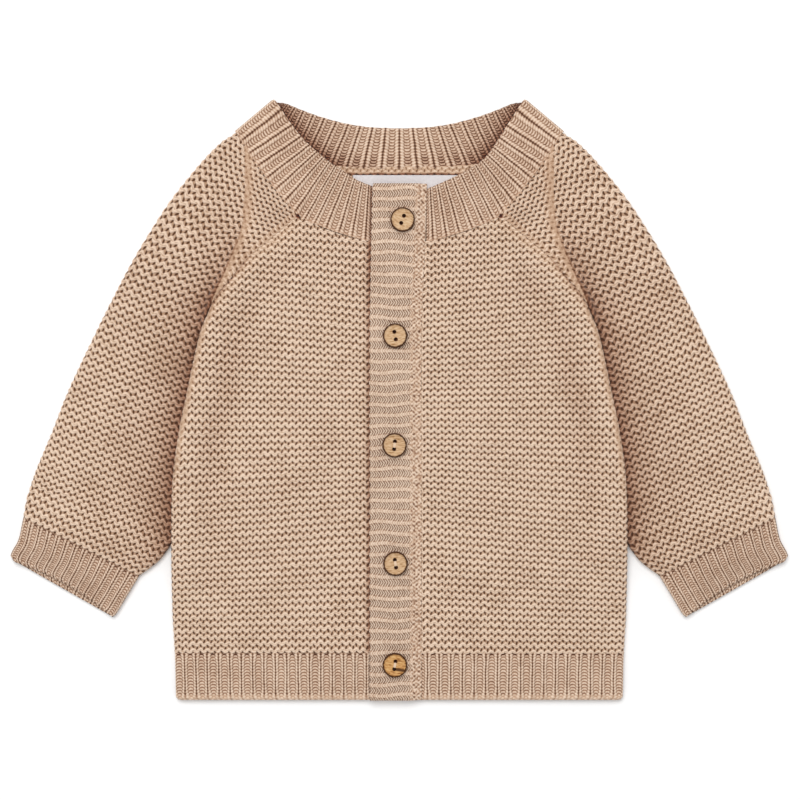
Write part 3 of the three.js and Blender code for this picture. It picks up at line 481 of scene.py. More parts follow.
def folded_tube(rows, back, front_across, back_across, inside_offsets, top, under, relief):
    """Rings of a flattened tube and their distances round it from the inner edge of its front layer."""
    front_edge = np.stack([rows["inner_x"], rows["inner_y"]], axis=1)
    fold = np.stack([rows["fold_x"], rows["fold_y"]], axis=1)
    outward = 2 * fold - front_edge - back
    outward = outward / np.linalg.norm(outward, axis=1)[:, None]
    bend = fold - outward * FOLD_R
    rings = []
    rounds = []

    def layer(start, across, bow, height, travel):
        line = bend - start
        width = np.linalg.norm(line, axis=1)
        side = np.stack([line[:, 1], -line[:, 0]], axis=1) / width[:, None]
        share = across if across.ndim == 2 else np.repeat(across[None, :], len(line), axis=0)
        bulge = (bow[:, None] * 4 * share * (1 - share))[..., None] * side[:, None, :]
        place = start[:, None, :] + line[:, None, :] * share[..., None] + bulge
        offset = share * width[:, None]
        x, y = place[..., 0], place[..., 1]
        rings.append(np.stack([x, y, height(x, y, offset, width[:, None])], axis=2))
        rounds.append(travel(offset, width[:, None]))

    def turn_round(radius, turns, raised):
        turns = turns[None, :]
        travel = np.linalg.norm(bend - front_edge, axis=1)[:, None] + FOLD_R * turns
        reach = radius + raised(travel) * (0.5 + 0.5 * np.cos(turns))
        place = bend[:, None, :] + outward[:, None, :] * (reach * np.sin(turns))[..., None]
        high = FOLD_R + reach * np.cos(turns)
        rings.append(np.concatenate([place, high[..., None]], axis=2))
        rounds.append(travel)

    girth = np.pi * FOLD_R
    none = np.zeros(len(fold))
    inside = np.clip(inside_offsets / np.linalg.norm(bend - front_edge, axis=1)[:, None], 0, 1)

    def inner_floor(*place):
        return CLOTH + under(*place, plain=True)

    def inner_roof(*place):
        return top(*place, plain=True)

    layer(front_edge, front_across, rows["bow"], top, lambda offset, width: offset)
    turn_round(FOLD_R, FOLD_TURNS, relief)
    layer(back, back_across[::-1], none, under, lambda offset, width: 2 * width + girth - offset)
    layer(back, inside, none, inner_floor, lambda offset, width: 2 * width - offset)
    turn_round(LAYER_GAP / 2, FOLD_TURNS[::-5], lambda travel: 0 * travel)
    layer(front_edge, inside[:, ::-1], rows["bow"], inner_roof, lambda offset, width: offset)
    points = np.concatenate([*rings, rings[0][:, :1]], axis=1)
    return points, np.concatenate([*rounds, rounds[0][:, :1]], axis=1)


def sleeve(name, side, material):
    """One sleeve on the left half, mirrored for the right one."""
    at = np.linspace(0, 1, int(255 / GRAIN))
    rows = read_table(SLEEVE_ROWS, "at", at)
    reach = (("inner_x", 0.7, 0.2), ("inner_y", 0.4, 0.35), ("fold_x", 1.7, 0.2), ("fold_y", -0.5, 0.35))
    for column, to_neck, to_cuff in reach:
        rows[column] = rows[column] + to_neck * ease((at - 0.96) / 0.04) - to_cuff * ease((0.03 - at) / 0.03)
    raglan = read_table(RAGLAN_BACK, "at", (at - SLEEVE_RAGLAN_AT) / (1 - SLEEVE_RAGLAN_AT))
    above = at >= SLEEVE_RAGLAN_AT
    back = np.stack([
        np.where(above, raglan["x"] - SLEEVE_BACK_CLEAR, rows["inner_x"]),
        np.where(above, raglan["y"], rows["inner_y"]),
    ], axis=1)
    rounded = (1 - ease((at - SLEEVE_RAGLAN_AT) / 0.03))[:, None]
    fade = ease((rows["inner_y"] - SLEEVE_DROP_Y) / (UNDERARM_Y - SLEEVE_DROP_Y))
    carried = np.where(above, 1, fade * fade)[:, None]
    middle = np.stack([rows["inner_x"] + rows["fold_x"], rows["inner_y"] + rows["fold_y"]], axis=1) / 2
    steps = np.linalg.norm(np.diff(middle, axis=0), axis=1)
    gauge = read_table(SLEEVE_GAUGE, "at", at)
    counted = np.concatenate([[0], np.cumsum(steps / gauge["ridge"][1:])])
    v = (counted[-1] - counted)[:, None]
    widths = np.hypot(rows["inner_x"] - rows["fold_x"], rows["inner_y"] - rows["fold_y"])[:, None]

    def stitch(travel):
        return side * (travel - widths / 2) / gauge["stitch"][:, None]

    def plain_at(x, y, travel):
        crease_x = read_table(CREASE, "y", y)["x"]
        beside_crease = 0.85 * np.exp(-((x - crease_x - 1.5) / 4.2) ** 2) * (x > crease_x)
        beside_seam = 0.6 * np.exp(-((travel - 1) / 3) ** 2)
        return np.where(above[:, None], np.maximum(beside_crease, beside_seam), 0.1)

    def relief(travel):
        return garter_relief(stitch(travel), v)

    def top(x, y, offset, width, plain=False):
        lift = lift_at(x, np.maximum(y, UNDERARM_Y)) * carried
        lift = lift + soft_folds(side * x, y) * ease(offset / 6) * ease((width - offset) / 8)
        crown = SLEEVE_CROWN * np.sin(np.pi * np.clip(offset / width, 0, 1)) * np.sin(np.pi * at)[:, None]
        if plain:
            return FRONT_Z + lift + crown * 0.5
        bumps = relief(offset) * ease((offset + 0.3) / 2.4) * (1 - 0.8 * plain_at(x, y, offset))
        seam = 0.45 * (1 - ease(offset / 1.5)) * (1 - rounded) * (1 - 0.8 * ease((at[:, None] - 0.75) / 0.08))
        return FRONT_TOP + lift + crown - rounded * edge_drop(offset) + bumps - seam

    def under(x, y, offset, width, plain=False):
        lift = lift_at(x, np.maximum(y, UNDERARM_Y)) * carried
        return lift if plain else lift + rounded * edge_drop(offset)

    crease = rows["crease"][:, None]
    inside_offsets = np.concatenate([
        crease * np.array([[0, 0.5, 1]]),
        crease + np.array([[1.1, 2.3, 3.4, 4.5]]),
        crease + 4.5 + (widths - FOLD_R - crease - 4.5) * np.array([[0.2, 0.4, 0.7, 1]]),
    ], axis=1)
    back_across = np.concatenate([np.linspace(0, 0.06, 5), np.linspace(0.09, 1, 26)])
    points, travel = folded_tube(
        rows, back, np.linspace(0, 1, int(80 / GRAIN)), back_across, inside_offsets, top, under, relief,
    )
    points[..., 0] *= side
    x, y = points[..., 0] * side, points[..., 1]
    edge_x = np.where(y > UNDERARM_Y, read_table(CREASE, "y", y)["x"], read_table(SIDE_EDGE, "y", y)["x"])
    depth = np.clip(read_table(CREASE_LIFT, "y", y)["lift"], 0, TUCK_LIFT) / TUCK_LIFT
    outward = np.maximum(edge_x - x, 0)
    shadow = depth * (1.0 * np.exp(-outward / 7) + 0.7 * np.exp(-outward / 22)) * (points[..., 2] > FOLD_R)
    shadow = np.where(x > edge_x + 1, 0, shadow) + 0.15 * ease((y - 30) / 60)
    shadow = shadow + corner_hole(x, y) * (points[..., 2] > FOLD_R)
    knit = np.stack([stitch(travel), v + 0 * travel, shadow], axis=2)
    piece = shell(name, points, knit, material, plain_at(x, y, travel))
    lay(piece, name.removesuffix("_cloth"))


sleeve("sleeve_left_cloth", 1, garter)
sleeve("sleeve_right_cloth", -1, garter)

# Hem ribs
# 1x1 rib, knitted down from the garter stitch and cast off: one raised knit column and one recessed purl
# column to each rib. The back's rib rests flat on the table.
HEM_RIBS = 17
RIB_DEPTH = 0.9
RIB_ROW = 1.65  # height of one row of rib
END_DROP = CLOTH * 0.45
RIB_POINTS = 10  # points across one rib


def groove_distance(tree, rib):
    """Distance from the nearest rib groove, counted in ribs."""
    within = add(tree, "FRACT", add(tree, "ADD", rib, 0.5))
    return add(tree, "ABSOLUTE", add(tree, "SUBTRACT", within, 0.5))


def rib_height(tree, rib, row, closed):
    """Two strands to each knit column with a dotted gap between, and stacked purl bumps in the groove, which
    is narrower as closed rises to 1. From there to 2 the whole rib fades into plain cloth."""
    from_groove = groove_distance(tree, rib)
    from_wale = add(tree, "SUBTRACT", 0.5, from_groove)
    half = add(tree, "MULTIPLY_ADD", add(tree, "MINIMUM", closed, 1), 0.12, 0.26)
    strand = add(tree, "SUBTRACT", add(tree, "DIVIDE", from_wale, half), 0.55)
    strand = add(tree, "MULTIPLY_ADD", add(tree, "MULTIPLY", strand, strand), -5.4, 0.7)
    leg = add(tree, "MULTIPLY_ADD", from_wale, 1.5, row)
    leg = add(tree, "COSINE", add(tree, "MULTIPLY", leg, 2 * math.pi))
    wale = add(tree, "MULTIPLY_ADD", leg, 0.34, strand)
    arched = add(tree, "MULTIPLY_ADD", add(tree, "MULTIPLY", from_groove, from_groove), -6.0, row)
    purl = add(tree, "COSINE", add(tree, "MULTIPLY", arched, 2 * math.pi))
    purl = add(tree, "MULTIPLY_ADD", purl, 0.5, 0.2)
    side = add(tree, "MULTIPLY_ADD", add(tree, "SUBTRACT", half, from_wale), 18, 0.5, use_clamp=True)
    ribbed = add(tree, "ShaderNodeMix", side, None, purl, wale)
    return add(tree, "ShaderNodeMix", add(tree, "SUBTRACT", closed, 1, use_clamp=True), None, ribbed, 0.4)


RIB_TONES = ("#5a361e", "#a37e65", "#c6a68c", "#e8d0ba")
rib_wool = yarn("wool rib", rib_height, tones=RIB_TONES, low=-0.9, high=0.95, wander=0.12)


def groove(rib):
    """Depth of a rib groove at a rib number: full at whole numbers, none on the wale between them."""
    from_wale = np.abs(rib - np.floor(rib) - 0.5)
    return RIB_DEPTH * ease((from_wale - 0.15) / 0.2)


def front_hem(name, far_x, side, material):
    """The rib under one front, on the left half, mirrored for the right one."""
    last_y = HEM_Y + np.array([1.2, 0.7, 0.3, 0])
    y = np.concatenate([np.arange(HEM_JOIN_Y, HEM_Y + 1.6, -GRAIN), last_y])[:, None]
    end = ease((HEM_Y + 1.6 - y) / 1.6)
    start_x = read_table(SIDE_EDGE, "y", y)["x"] + 1.2 * end
    edge = np.array([[0, 0.4, 0.8, 1.2, 1.7]])
    first_x = start_x + 2.2
    ribs = np.linspace(0, HEM_RIBS, HEM_RIBS * RIB_POINTS + 1)[None, :]
    x = np.concatenate([start_x + edge, mix(first_x, far_x, ribs / HEM_RIBS)], axis=1)
    rib = np.concatenate([(edge - 2.2) / 6.3 + 0 * y, ribs + 0 * y], axis=1)
    row = (HEM_JOIN_Y - y) / RIB_ROW + 0 * x
    drop = np.minimum(edge_drop(x - start_x) + end * END_DROP, CLOTH * 0.8)
    body = ease((x - start_x - 1.5) / 1.5)
    ripple = 0.08 * np.cos(2 * np.pi * row) * body
    z = FRONT_TOP - np.maximum(drop, groove(rib) * body * (1 - 0.6 * end)) + ripple
    low_x = mix(far_x, start_x, np.linspace(0, 1, 8)[None, :])
    top = np.stack([x, y + 0 * x, z], axis=2)
    low = np.stack([low_x, y + 0 * low_x, FRONT_Z + 0 * low_x], axis=2)
    points = np.concatenate([top, low, top[:, :1]], axis=1)
    # Painted shade in the small holes where the rib joins the garter stitch.
    holes = 1.1 * np.exp(-((row - 0.4) / 0.5) ** 2) * ease(1.2 - 4 * np.abs(rib - np.round(rib)))
    top_knit = np.stack([rib, row, holes], axis=2)
    closed = 1 - ease(row / 3.5) * ease((y - HEM_Y - 1.5) / 5) + 0.6 * (1 - ease((y - HEM_Y - 2.2) / 1.6))
    closed = np.pad(closed + 0 * x, ((0, 0), (0, points.shape[1] - x.shape[1])))
    low_knit = np.stack([low_x / 6.3, (HEM_JOIN_Y - y) / RIB_ROW + 0 * low_x, 0 * low_x], axis=2)
    knit = np.concatenate([top_knit, low_knit, top_knit[:, :1]], axis=1)
    points[..., 0] *= side
    piece = shell(name, points, knit, material, closed)
    lay(piece, name.removesuffix("_cloth"))


front_hem("hem_rib_front_left_cloth", OPENING_LEFT_X, 1, rib_wool)
front_hem("hem_rib_front_right_cloth", -12.3, -1, rib_wool)

back_hem_y = np.array([HEM_JOIN_Y, -145, -150, -155, -160, HEM_Y + 1.6, HEM_Y + 0.6, HEM_Y])[:, None]
back_hem_end = ease((HEM_Y + 1.6 - back_hem_y) / 1.6)
back_hem_half = -read_table(SIDE_EDGE, "y", back_hem_y)["x"] - 1.2 * back_hem_end
back_hem_across = np.concatenate([
    np.linspace(-1, -0.98, 6), np.linspace(-0.95, 0.95, 39), np.linspace(0.98, 1, 6),
])
back_hem_x = back_hem_half * back_hem_across[None, :]
back_hem_top = CLOTH - 0.5 * END_DROP * back_hem_end + 0 * back_hem_x
back_hem_drop = edge_drop(back_hem_half - np.abs(back_hem_x)) + 0.3 * END_DROP * back_hem_end
back_hem_low = np.minimum(back_hem_drop, END_DROP)
back_hem_points = np.concatenate([
    np.stack([back_hem_x, back_hem_y + 0 * back_hem_x, back_hem_top], axis=2),
    np.stack([back_hem_x, back_hem_y + 0 * back_hem_x, back_hem_low], axis=2)[:, ::-1],
    np.stack([back_hem_x, back_hem_y + 0 * back_hem_x, back_hem_top], axis=2)[:, :1],
], axis=1)
back_hem_knit = back_hem_points * (1 / 6.3, -1 / RIB_ROW, 0)
back_hem = shell("hem_rib_back_cloth", back_hem_points, back_hem_knit, rib_wool)
lay(back_hem, "hem_rib_back")

# Cuffs
# 1x1 rib knitted on from the sleeve, drawn in a little and fanned towards its free edge, folded flat as the
# sleeve is.
CUFF_RIBS = 12
CUFF_ROWS = table(
    "at inner_x inner_y fold_x fold_y bow",
    (0, -143.2, -97.1, -206.8, -64.8, 0), (0.45, -150.0, -108.3, -209.4, -76.7, 1.2),
    (0.93, -156.1, -118.3, -213.8, -85.6, 3.2), (1, -157.7, -119.6, -212.6, -88.4, 3.2),
)


def cuff(name, side, material):
    """One cuff on the left half, mirrored for the right one."""
    at = np.concatenate([np.linspace(0, 0.93, int(26 / GRAIN)), [0.95, 0.97, 0.985, 1]])
    rows = read_table(CUFF_ROWS, "at", at)
    end = ease((at - 0.93) / 0.07)[:, None]
    row = (at * 27.5 / RIB_ROW)[:, None]
    widths = np.hypot(rows["inner_x"] - rows["fold_x"], rows["inner_y"] - rows["fold_y"])[:, None]

    def rib_at(travel):
        return (travel - 2.2) / (widths - FOLD_R - 2.2) * CUFF_RIBS

    def relief(travel):
        return -groove(rib_at(travel)) * (1 - 0.7 * end) - end * END_DROP * 0.5

    def top(x, y, offset, width, plain=False):
        if plain:
            return FRONT_Z + 0 * offset
        body = ease((offset - 1.5) / 1.5)
        drop = np.minimum(edge_drop(offset) + end * END_DROP, CLOTH * 0.8)
        return FRONT_TOP - np.maximum(drop, groove(rib_at(offset)) * body * (1 - 0.6 * end))

    def under(x, y, offset, width, plain=False):
        return 0 * offset if plain else edge_drop(offset)

    edge = np.stack([rows["inner_x"], rows["inner_y"]], axis=1)
    front_across = np.linspace(0.04, 1, CUFF_RIBS * RIB_POINTS)
    front_across = np.concatenate([[0, 0.006, 0.012, 0.02, 0.03], front_across])
    back_across = np.linspace(0, 1, 30) ** 1.5
    inside_offsets = (widths - FOLD_R) * np.linspace(0, 1, 6)[None, :]
    points, travel = folded_tube(
        rows, edge, front_across, back_across, inside_offsets, top, under, relief,
    )
    points[..., 0] *= side
    ribs = rib_at(travel)
    # Painted shade in the small holes where the rib joins the sleeve, and 0.12 more painted shade over the
    # whole cuff.
    holes = 0.9 * np.exp(-((row - 0.4) / 0.5) ** 2) * ease(1.2 - 4 * np.abs(ribs - np.round(ribs)))
    knit = np.stack([side * ribs, row + 0 * travel, holes + 0.12], axis=2)
    closed = 1 - 0.6 * ease(row / 3.5) * (1 - end) + 0 * travel
    piece = shell(name, points, knit, material, closed)
    lay(piece, name.removesuffix("_cloth"))


cuff("cuff_left_cloth", 1, rib_wool)
cuff("cuff_right_cloth", -1, rib_wool)

# Neckband
# 1x1 rib picked up round the neck and cast off. It lies face up along both fronts, folds over at the
# shoulders and shows its inside along the back of the neck.
BAND_RIBS = 53
BAND_EDGE_AT = 0.95
# The free edge lies further out on the right
BAND_FRONT = table(
    "rib seam_x seam_y edge_x edge_y right_x right_y",
    (0, -14.9, 86.6, -14.9, 117.2, -14.9, 115.6), (2.2, -31.0, 91.1, -23.3, 120.7, -23.8, 119.4),
    (4.2, -44.7, 96.0, -30.6, 125.6, -32.3, 123.4), (6.1, -55.0, 101.2, -37.0, 129.7, -40.3, 127.8),
    (8.2, -66.2, 113.6, -44.0, 135.2, -47.4, 133.3), (10.1, -75.5, 125.7, -51.9, 142.4, -53.4, 141.5),
    (11.7, -83.1, 136.6, -59.9, 152.2, -60.0, 151.9), (13, -88.6, 145.8, -67.5, 163.5, -67.5, 163.5),
)
BAND_BACK = table(
    "rib seam_x seam_y edge_x edge_y",
    (14.2, -88.6, 145.8, -67.5, 163.5), (16.2, -79.9, 142.5, -62.3, 162.9),
    (18.1, -66.8, 135.8, -54.6, 159.8), (20.1, -54.6, 131.7, -43.6, 155.8),
    (22.2, -39.8, 129.3, -29.9, 152.1), (24.3, -21.6, 127.8, -16.1, 150.0),
    (26.5, 0, 127.3, 0, 149.3),
)
FOLD_FIRST_RIB = 13
FOLD_LAST_RIB = 14.2

band_all = np.linspace(0, BAND_RIBS, BAND_RIBS * RIB_POINTS + 1)
band_flip = np.where(band_all > BAND_RIBS / 2, -1.0, 1.0)
band_rib = np.where(band_flip > 0, band_all, BAND_RIBS - band_all)
band_ahead = read_table(BAND_FRONT, "rib", band_rib)
band_behind = read_table(BAND_BACK, "rib", band_rib)
for axis in "xy":
    left_edge = band_ahead[f"edge_{axis}"]
    band_ahead[f"edge_{axis}"] = np.where(band_flip > 0, left_edge, band_ahead[f"right_{axis}"])
band_row = {
    name: np.where(band_rib <= FOLD_FIRST_RIB, band_ahead[name], band_behind[name])
    for name in band_behind
}
band_turn = np.pi * np.clip((band_rib - FOLD_FIRST_RIB) / (FOLD_LAST_RIB - FOLD_FIRST_RIB), 0, 1)
band_seam = np.stack([band_row["seam_x"], band_row["seam_y"]], axis=1)
band_edge = np.stack([band_row["edge_x"], band_row["edge_y"]], axis=1)
band_line = band_edge - band_seam
band_length = np.linalg.norm(band_line, axis=1)
band_out = np.stack([-band_line[:, 1], band_line[:, 0]], axis=1) / band_length[:, None]
band_groove = groove(band_rib) * (0.25 + 0.75 * ease(np.abs(band_rib - 13.4) / 1.5 - 0.4))
band_faces_up = 0.5 + 0.5 * np.cos(band_turn)


def band_layer(radius, across, roll):
    """One side of the neckband at a radius from the middle of its fold, rolled down at its free edge."""
    edge = ease((across - BAND_EDGE_AT) / (1 - BAND_EDGE_AT))
    radii = radius[:, None] + roll * edge[None, :]
    place = band_seam[:, None, :] + band_line[:, None, :] * across[None, :, None]
    place = place + band_out[:, None, :] * (radii * np.sin(band_turn)[:, None])[..., None]
    z = FOLD_R + radii * np.cos(band_turn)[:, None]
    return np.stack([place[..., 0] * band_flip[:, None], place[..., 1], z], axis=2)


band_across = np.linspace(-0.012, 1, int(29 / GRAIN))
band_outside = FOLD_R - band_groove * ease(band_faces_up * 2)
band_inside = LAYER_GAP / 2 + band_groove * ease(2 - band_faces_up * 2)
band_points = np.concatenate([
    band_layer(band_outside, band_across, -0.6),
    band_layer(band_inside, band_across[::-1], 0.3),
    band_layer(band_outside, band_across[:1], 0),
], axis=1)
band_travel = np.concatenate([band_across, band_across[::-1], band_across[:1]])
band_rows = band_length[:, None] * band_travel[None, :] / RIB_ROW
band_closed = 0.65 + 0.8 * np.exp(-(band_rows / 1.1) ** 2) * (band_rib < FOLD_LAST_RIB)[:, None]
band_front_x = [np.interp(band_points[..., 1], BAND_FRONT[y], BAND_FRONT[x])
                for x, y in (("edge_x", "edge_y"), ("right_x", "right_y"))]
band_front_x = np.where(band_flip[:, None] > 0, *band_front_x)
band_beside = band_points[..., 0] * band_flip[:, None] - band_front_x
# Painted shade on the back of the band beside the fronts' free edges, at its left end by the placket and in a
# row of pits along the back seam, over an even base that is a little more along the fronts.
band_is_back = (band_rib > FOLD_LAST_RIB)[:, None]
band_shadow = (1.2 * np.exp(-band_beside / 4) + 0.7 * np.exp(-band_beside / 16)) * band_is_back
band_shadow = np.clip(band_shadow, 0, 2) * (band_beside > -3) + 1.2 * np.exp(-band_all / 0.25)[:, None]
band_pit_shade = ease(1.3 - 5 * np.abs(band_rib - np.round(band_rib)))[:, None] * band_is_back
band_pit_shade = 0.6 * band_pit_shade * np.exp(-((band_rows - 2.5) / 1.6) ** 2)
band_base = np.where(band_rib <= FOLD_FIRST_RIB, 0.14, 0.08)[:, None]
band_shade_depth = band_base + band_shadow + band_pit_shade
band_knit = np.stack([band_all[:, None] + 0 * band_rows, band_rows, band_shade_depth], axis=2)
neckband = shell("neckband_cloth", band_points, band_knit, rib_wool, band_closed)
lay(neckband, "neckband")

# Button band
# A narrow ribbed strip on the left front's opening edge. The buttonhole band covers it.
BUTTON_BAND_RIGHT_X = 3
BUTTON_BAND_TOP_Y = 116.5
under_band_x = np.linspace(OPENING_LEFT_X + SEAM, BUTTON_BAND_RIGHT_X, 16)[None, :]
under_band_y = np.linspace(BUTTON_BAND_TOP_Y, HEM_Y, 240)[:, None]
under_band_rib = (BUTTON_BAND_TOP_Y - under_band_y) / 5.9
under_band_top = FRONT_TOP - groove(under_band_rib) * 0.6 + 0 * under_band_x
under_band_face = np.stack([
    under_band_x + 0 * under_band_y, under_band_y + 0 * under_band_x, under_band_top,
], axis=2)
under_band_low = under_band_face[:, [-1, 0]] * (1, 1, 0) + (0, 0, FRONT_Z)
under_band_points = np.concatenate([under_band_face, under_band_low, under_band_face[:, :1]], axis=1)
under_band_knit = under_band_points[..., [1, 0, 2]] * (-1 / 5.9, 1 / RIB_ROW, 0)
button_band = shell("button_band_cloth", under_band_points, under_band_knit, rib_wool)
lay(button_band, "button_band")

# Buttonhole band
# Ribbed and knitted sideways, so its ribs run across it, with the five buttons on it. It lies on the button
# band and comes down to the right front along its picked-up seam.
PLACKET_Z = FRONT_TOP + SEAM
PLACKET_STEP = 8
PLACKET_RIBS = 48
PLACKET_TOP_Y = 118.5
BUTTONS = [
    dict(x=1.8, y=98.4, turn=-21, thread=False),
    dict(x=-2.3, y=34.9, turn=11, thread=False),
    dict(x=-2.6, y=-25.0, turn=-6, thread=True),
    dict(x=-2.1, y=-89.7, turn=9, thread=True),
    dict(x=-2.4, y=-145.2, turn=-9, thread=True),
]
BAND_ROW = 1.35  # height of one row of the band, which is knitted closer than the ribs


def band_height(tree, rib, row, plain):
    """Low ribs seen sideways: rows of small slanting stitches between smooth strips, with a dotted line
    between. Where plain is 1 they give way to the uneven stitches of the picked-up edge."""
    from_groove = groove_distance(tree, rib)
    slanting = add(tree, "MULTIPLY_ADD", from_groove, 2.8, row)
    slanting = add(tree, "COSINE", add(tree, "MULTIPLY", slanting, 2 * math.pi))
    stitches = add(tree, "MULTIPLY_ADD", slanting, 0.85, 0.45)
    smooth = add(tree, "MULTIPLY_ADD", slanting, 0.35, 0.56)
    side = add(tree, "MULTIPLY_ADD", add(tree, "SUBTRACT", from_groove, 0.25), 14, 0.5, use_clamp=True)
    height = add(tree, "ShaderNodeMix", side, None, stitches, smooth)
    aside = add(tree, "MULTIPLY", add(tree, "SUBTRACT", from_groove, 0.29), 1 / 0.07)
    line = add(tree, "MAXIMUM", add(tree, "MULTIPLY_ADD", add(tree, "MULTIPLY", aside, aside), -1, 1), 0)
    dots = add(tree, "MULTIPLY_ADD", add(tree, "COSINE", add(tree, "MULTIPLY", row, math.pi)), -0.35, -0.5)
    height = add(tree, "MULTIPLY_ADD", line, dots, height)
    across = add(tree, "COSINE", add(tree, "MULTIPLY", row, math.pi))
    down = add(tree, "COSINE", add(tree, "MULTIPLY", rib, 5 * math.pi))
    place = add(tree, "ShaderNodeCombineXYZ", row, add(tree, "MULTIPLY", rib, 4.4))
    lumps = add(tree, "ShaderNodeTexNoise", place, named={"Scale": 0.9, "Detail": 1.0})
    picked_up = add(tree, "MULTIPLY_ADD", add(tree, "MULTIPLY", across, down), 0.55, -1.25)
    picked_up = add(tree, "MULTIPLY_ADD", lumps, 3.1, picked_up)
    return add(tree, "ShaderNodeMix", plain, None, height, picked_up)


band_wool = yarn("wool button band rib", band_height, tones=RIB_TONES, low=-0.9, high=1.0, wander=0.12)
placket_rib = np.linspace(0, PLACKET_RIBS, PLACKET_RIBS * RIB_POINTS + 1)[:, None]
placket_y = mix(PLACKET_TOP_Y, HEM_Y, placket_rib / PLACKET_RIBS)
placket_edges = read_table(PLACKET_ROWS, "y", placket_y)
placket_across = np.linspace(0, 1, int(29 / GRAIN))[None, :]
placket_left = placket_edges["left"] + 0.35 * groove(placket_rib) / RIB_DEPTH
placket_x = mix(placket_left, placket_edges["right"], placket_across)
placket_wobble = 0.3 * np.sin(placket_x / 3.1 + placket_y / 9)
placket_wobble = placket_wobble + 0.5 * np.sin(placket_x / 7.3 - placket_y / 23)
placket_from_left = placket_x - placket_left
placket_step = ease((placket_x - placket_edges["right"] + PLACKET_STEP) / PLACKET_STEP)
placket_height = mix(PLACKET_Z + CLOTH, FRONT_TOP + 0.2, placket_step)
placket_round = 0.9 * (1 - ease((placket_from_left + 0.4) / 2.2))
placket_ends = np.minimum(placket_rib, PLACKET_RIBS - placket_rib)
placket_end = 0.9 * (1 - ease((placket_ends + 0.05) / 0.3))
placket_groove = groove(placket_rib + placket_wobble / 5.9) * 0.5 * (1 - 0.35 * placket_step)
placket_z = placket_height - np.maximum(placket_round, np.maximum(placket_groove, placket_end))
placket_low_x = mix(placket_left, placket_edges["right"], np.array([[1, 0.72, 0.5, 0]]))
placket_low_step = ease((placket_low_x - placket_edges["right"] + PLACKET_STEP) / PLACKET_STEP)
placket_low_z = mix(PLACKET_Z, FRONT_Z, placket_low_step)
placket_top = np.stack([placket_x, placket_y + 0 * placket_x, placket_z], axis=2)
placket_low = np.stack([placket_low_x, placket_y + 0 * placket_low_x, placket_low_z], axis=2)
placket_points = np.concatenate([placket_top, placket_low, placket_top[:, :1]], axis=1)
placket_knit = np.stack([
    placket_rib + 0 * placket_points[..., 0],
    placket_points[..., 0] / BAND_ROW,
    0 * placket_points[..., 0],
], axis=2)
placket_knit[:, :placket_x.shape[1], 0] += placket_wobble / 5.9
# Painted shade under each button, seen through its holes, and a faint painted shadow round it.
for place in BUTTONS:
    under_button = np.hypot(placket_points[..., 0] - place["x"], placket_points[..., 1] - place["y"])
    placket_knit[..., 2] += 3 * np.exp(-(under_button / 3.4) ** 4) + 0.25 * np.exp(-(under_button / 7.2) ** 8)
placket_edge = np.zeros(placket_points.shape[:2])
placket_edge[:, :placket_x.shape[1]] = 0.9 * ease((placket_x - placket_edges["right"] + 7.5) / 3)
placket = shell("placket_cloth", placket_points, placket_knit, band_wool, placket_edge)
lay(placket, "placket")

# Neck label
# A blank woven satin strip sewn flat to the back under the neckband.
LABEL_W = 58.5
LABEL_H = 18
LABEL_T = 0.5
LABEL_X = 3.6
LABEL_TOP_Y = 123.4
LABEL_Z = CLOTH + (LAYER_GAP - LABEL_T) / 2 + 0.25


def woven_height(tree, across, down, plain):
    """Fine ribs of satin warp crossed by weft."""
    warp = add(tree, "SINE", add(tree, "MULTIPLY", across, 2 * math.pi))
    weft = add(tree, "SINE", add(tree, "MULTIPLY", down, 2 * math.pi))
    return add(tree, "MULTIPLY_ADD", warp, 0.3, add(tree, "MULTIPLY", weft, 0.2))


SATIN_TONES = ("#ece3e3", "#f4ecec", "#faf4f4", "#fffcfc")
satin = yarn("white woven satin", woven_height, tones=SATIN_TONES, low=-0.8, high=0.8)
label_x = np.linspace(-LABEL_W / 2, LABEL_W / 2, 60)[None, :]
label_y = np.linspace(0, -LABEL_H, 24)[:, None]
label_wave = 0.12 * np.sin(label_x / 5.0) + 0.08 * np.sin(label_y / 2.5)
label_rim = 0.2 * (1 - ease((LABEL_W / 2 - np.abs(label_x)) / 0.8))
label_top = np.stack([label_x + LABEL_X + 0 * label_y, LABEL_TOP_Y + label_y + 0 * label_x,
                      LABEL_Z + LABEL_T + label_wave - label_rim], axis=2)
label_low = (label_top - (0, 0, LABEL_T - 0.05))[:, ::-1]
label_points = np.concatenate([label_top, label_low, label_top[:, :1]], axis=1)
label = shell("neck_label_cloth", label_points, label_points * (1 / 0.35, 1 / 0.5, 0), satin)
lay(label, "neck_label")

# Buttons
# Five turned buttons of pale wood, 13.4 mm across, with a scorched rim, a dished face and two holes. Each is
# sewn on with beige thread through its holes, which is drawn on three of them.
BUTTON_H = 2.6
BUTTON_DISH = 0.4
HOLE_R = 0.95
HOLE_SPACING = 4.2
BUTTON_Z = PLACKET_Z + CLOTH + SEAM
THREAD_R = 0.32
BRIDGE = 2.3  # length of the stitches between the holes
BUTTON_PROFILE = [
    (0, 0), (5.8, 0), (6.4, 0.2), (6.7, 0.8), (6.7, 1.8), (6.56, 2.3), (6.2, 2.55), (5.8, 2.6),
    (5.55, 2.52), (5.3, 2.3), (5.05, 2.22), (2.4, 2.18), (0, 2.16),
]


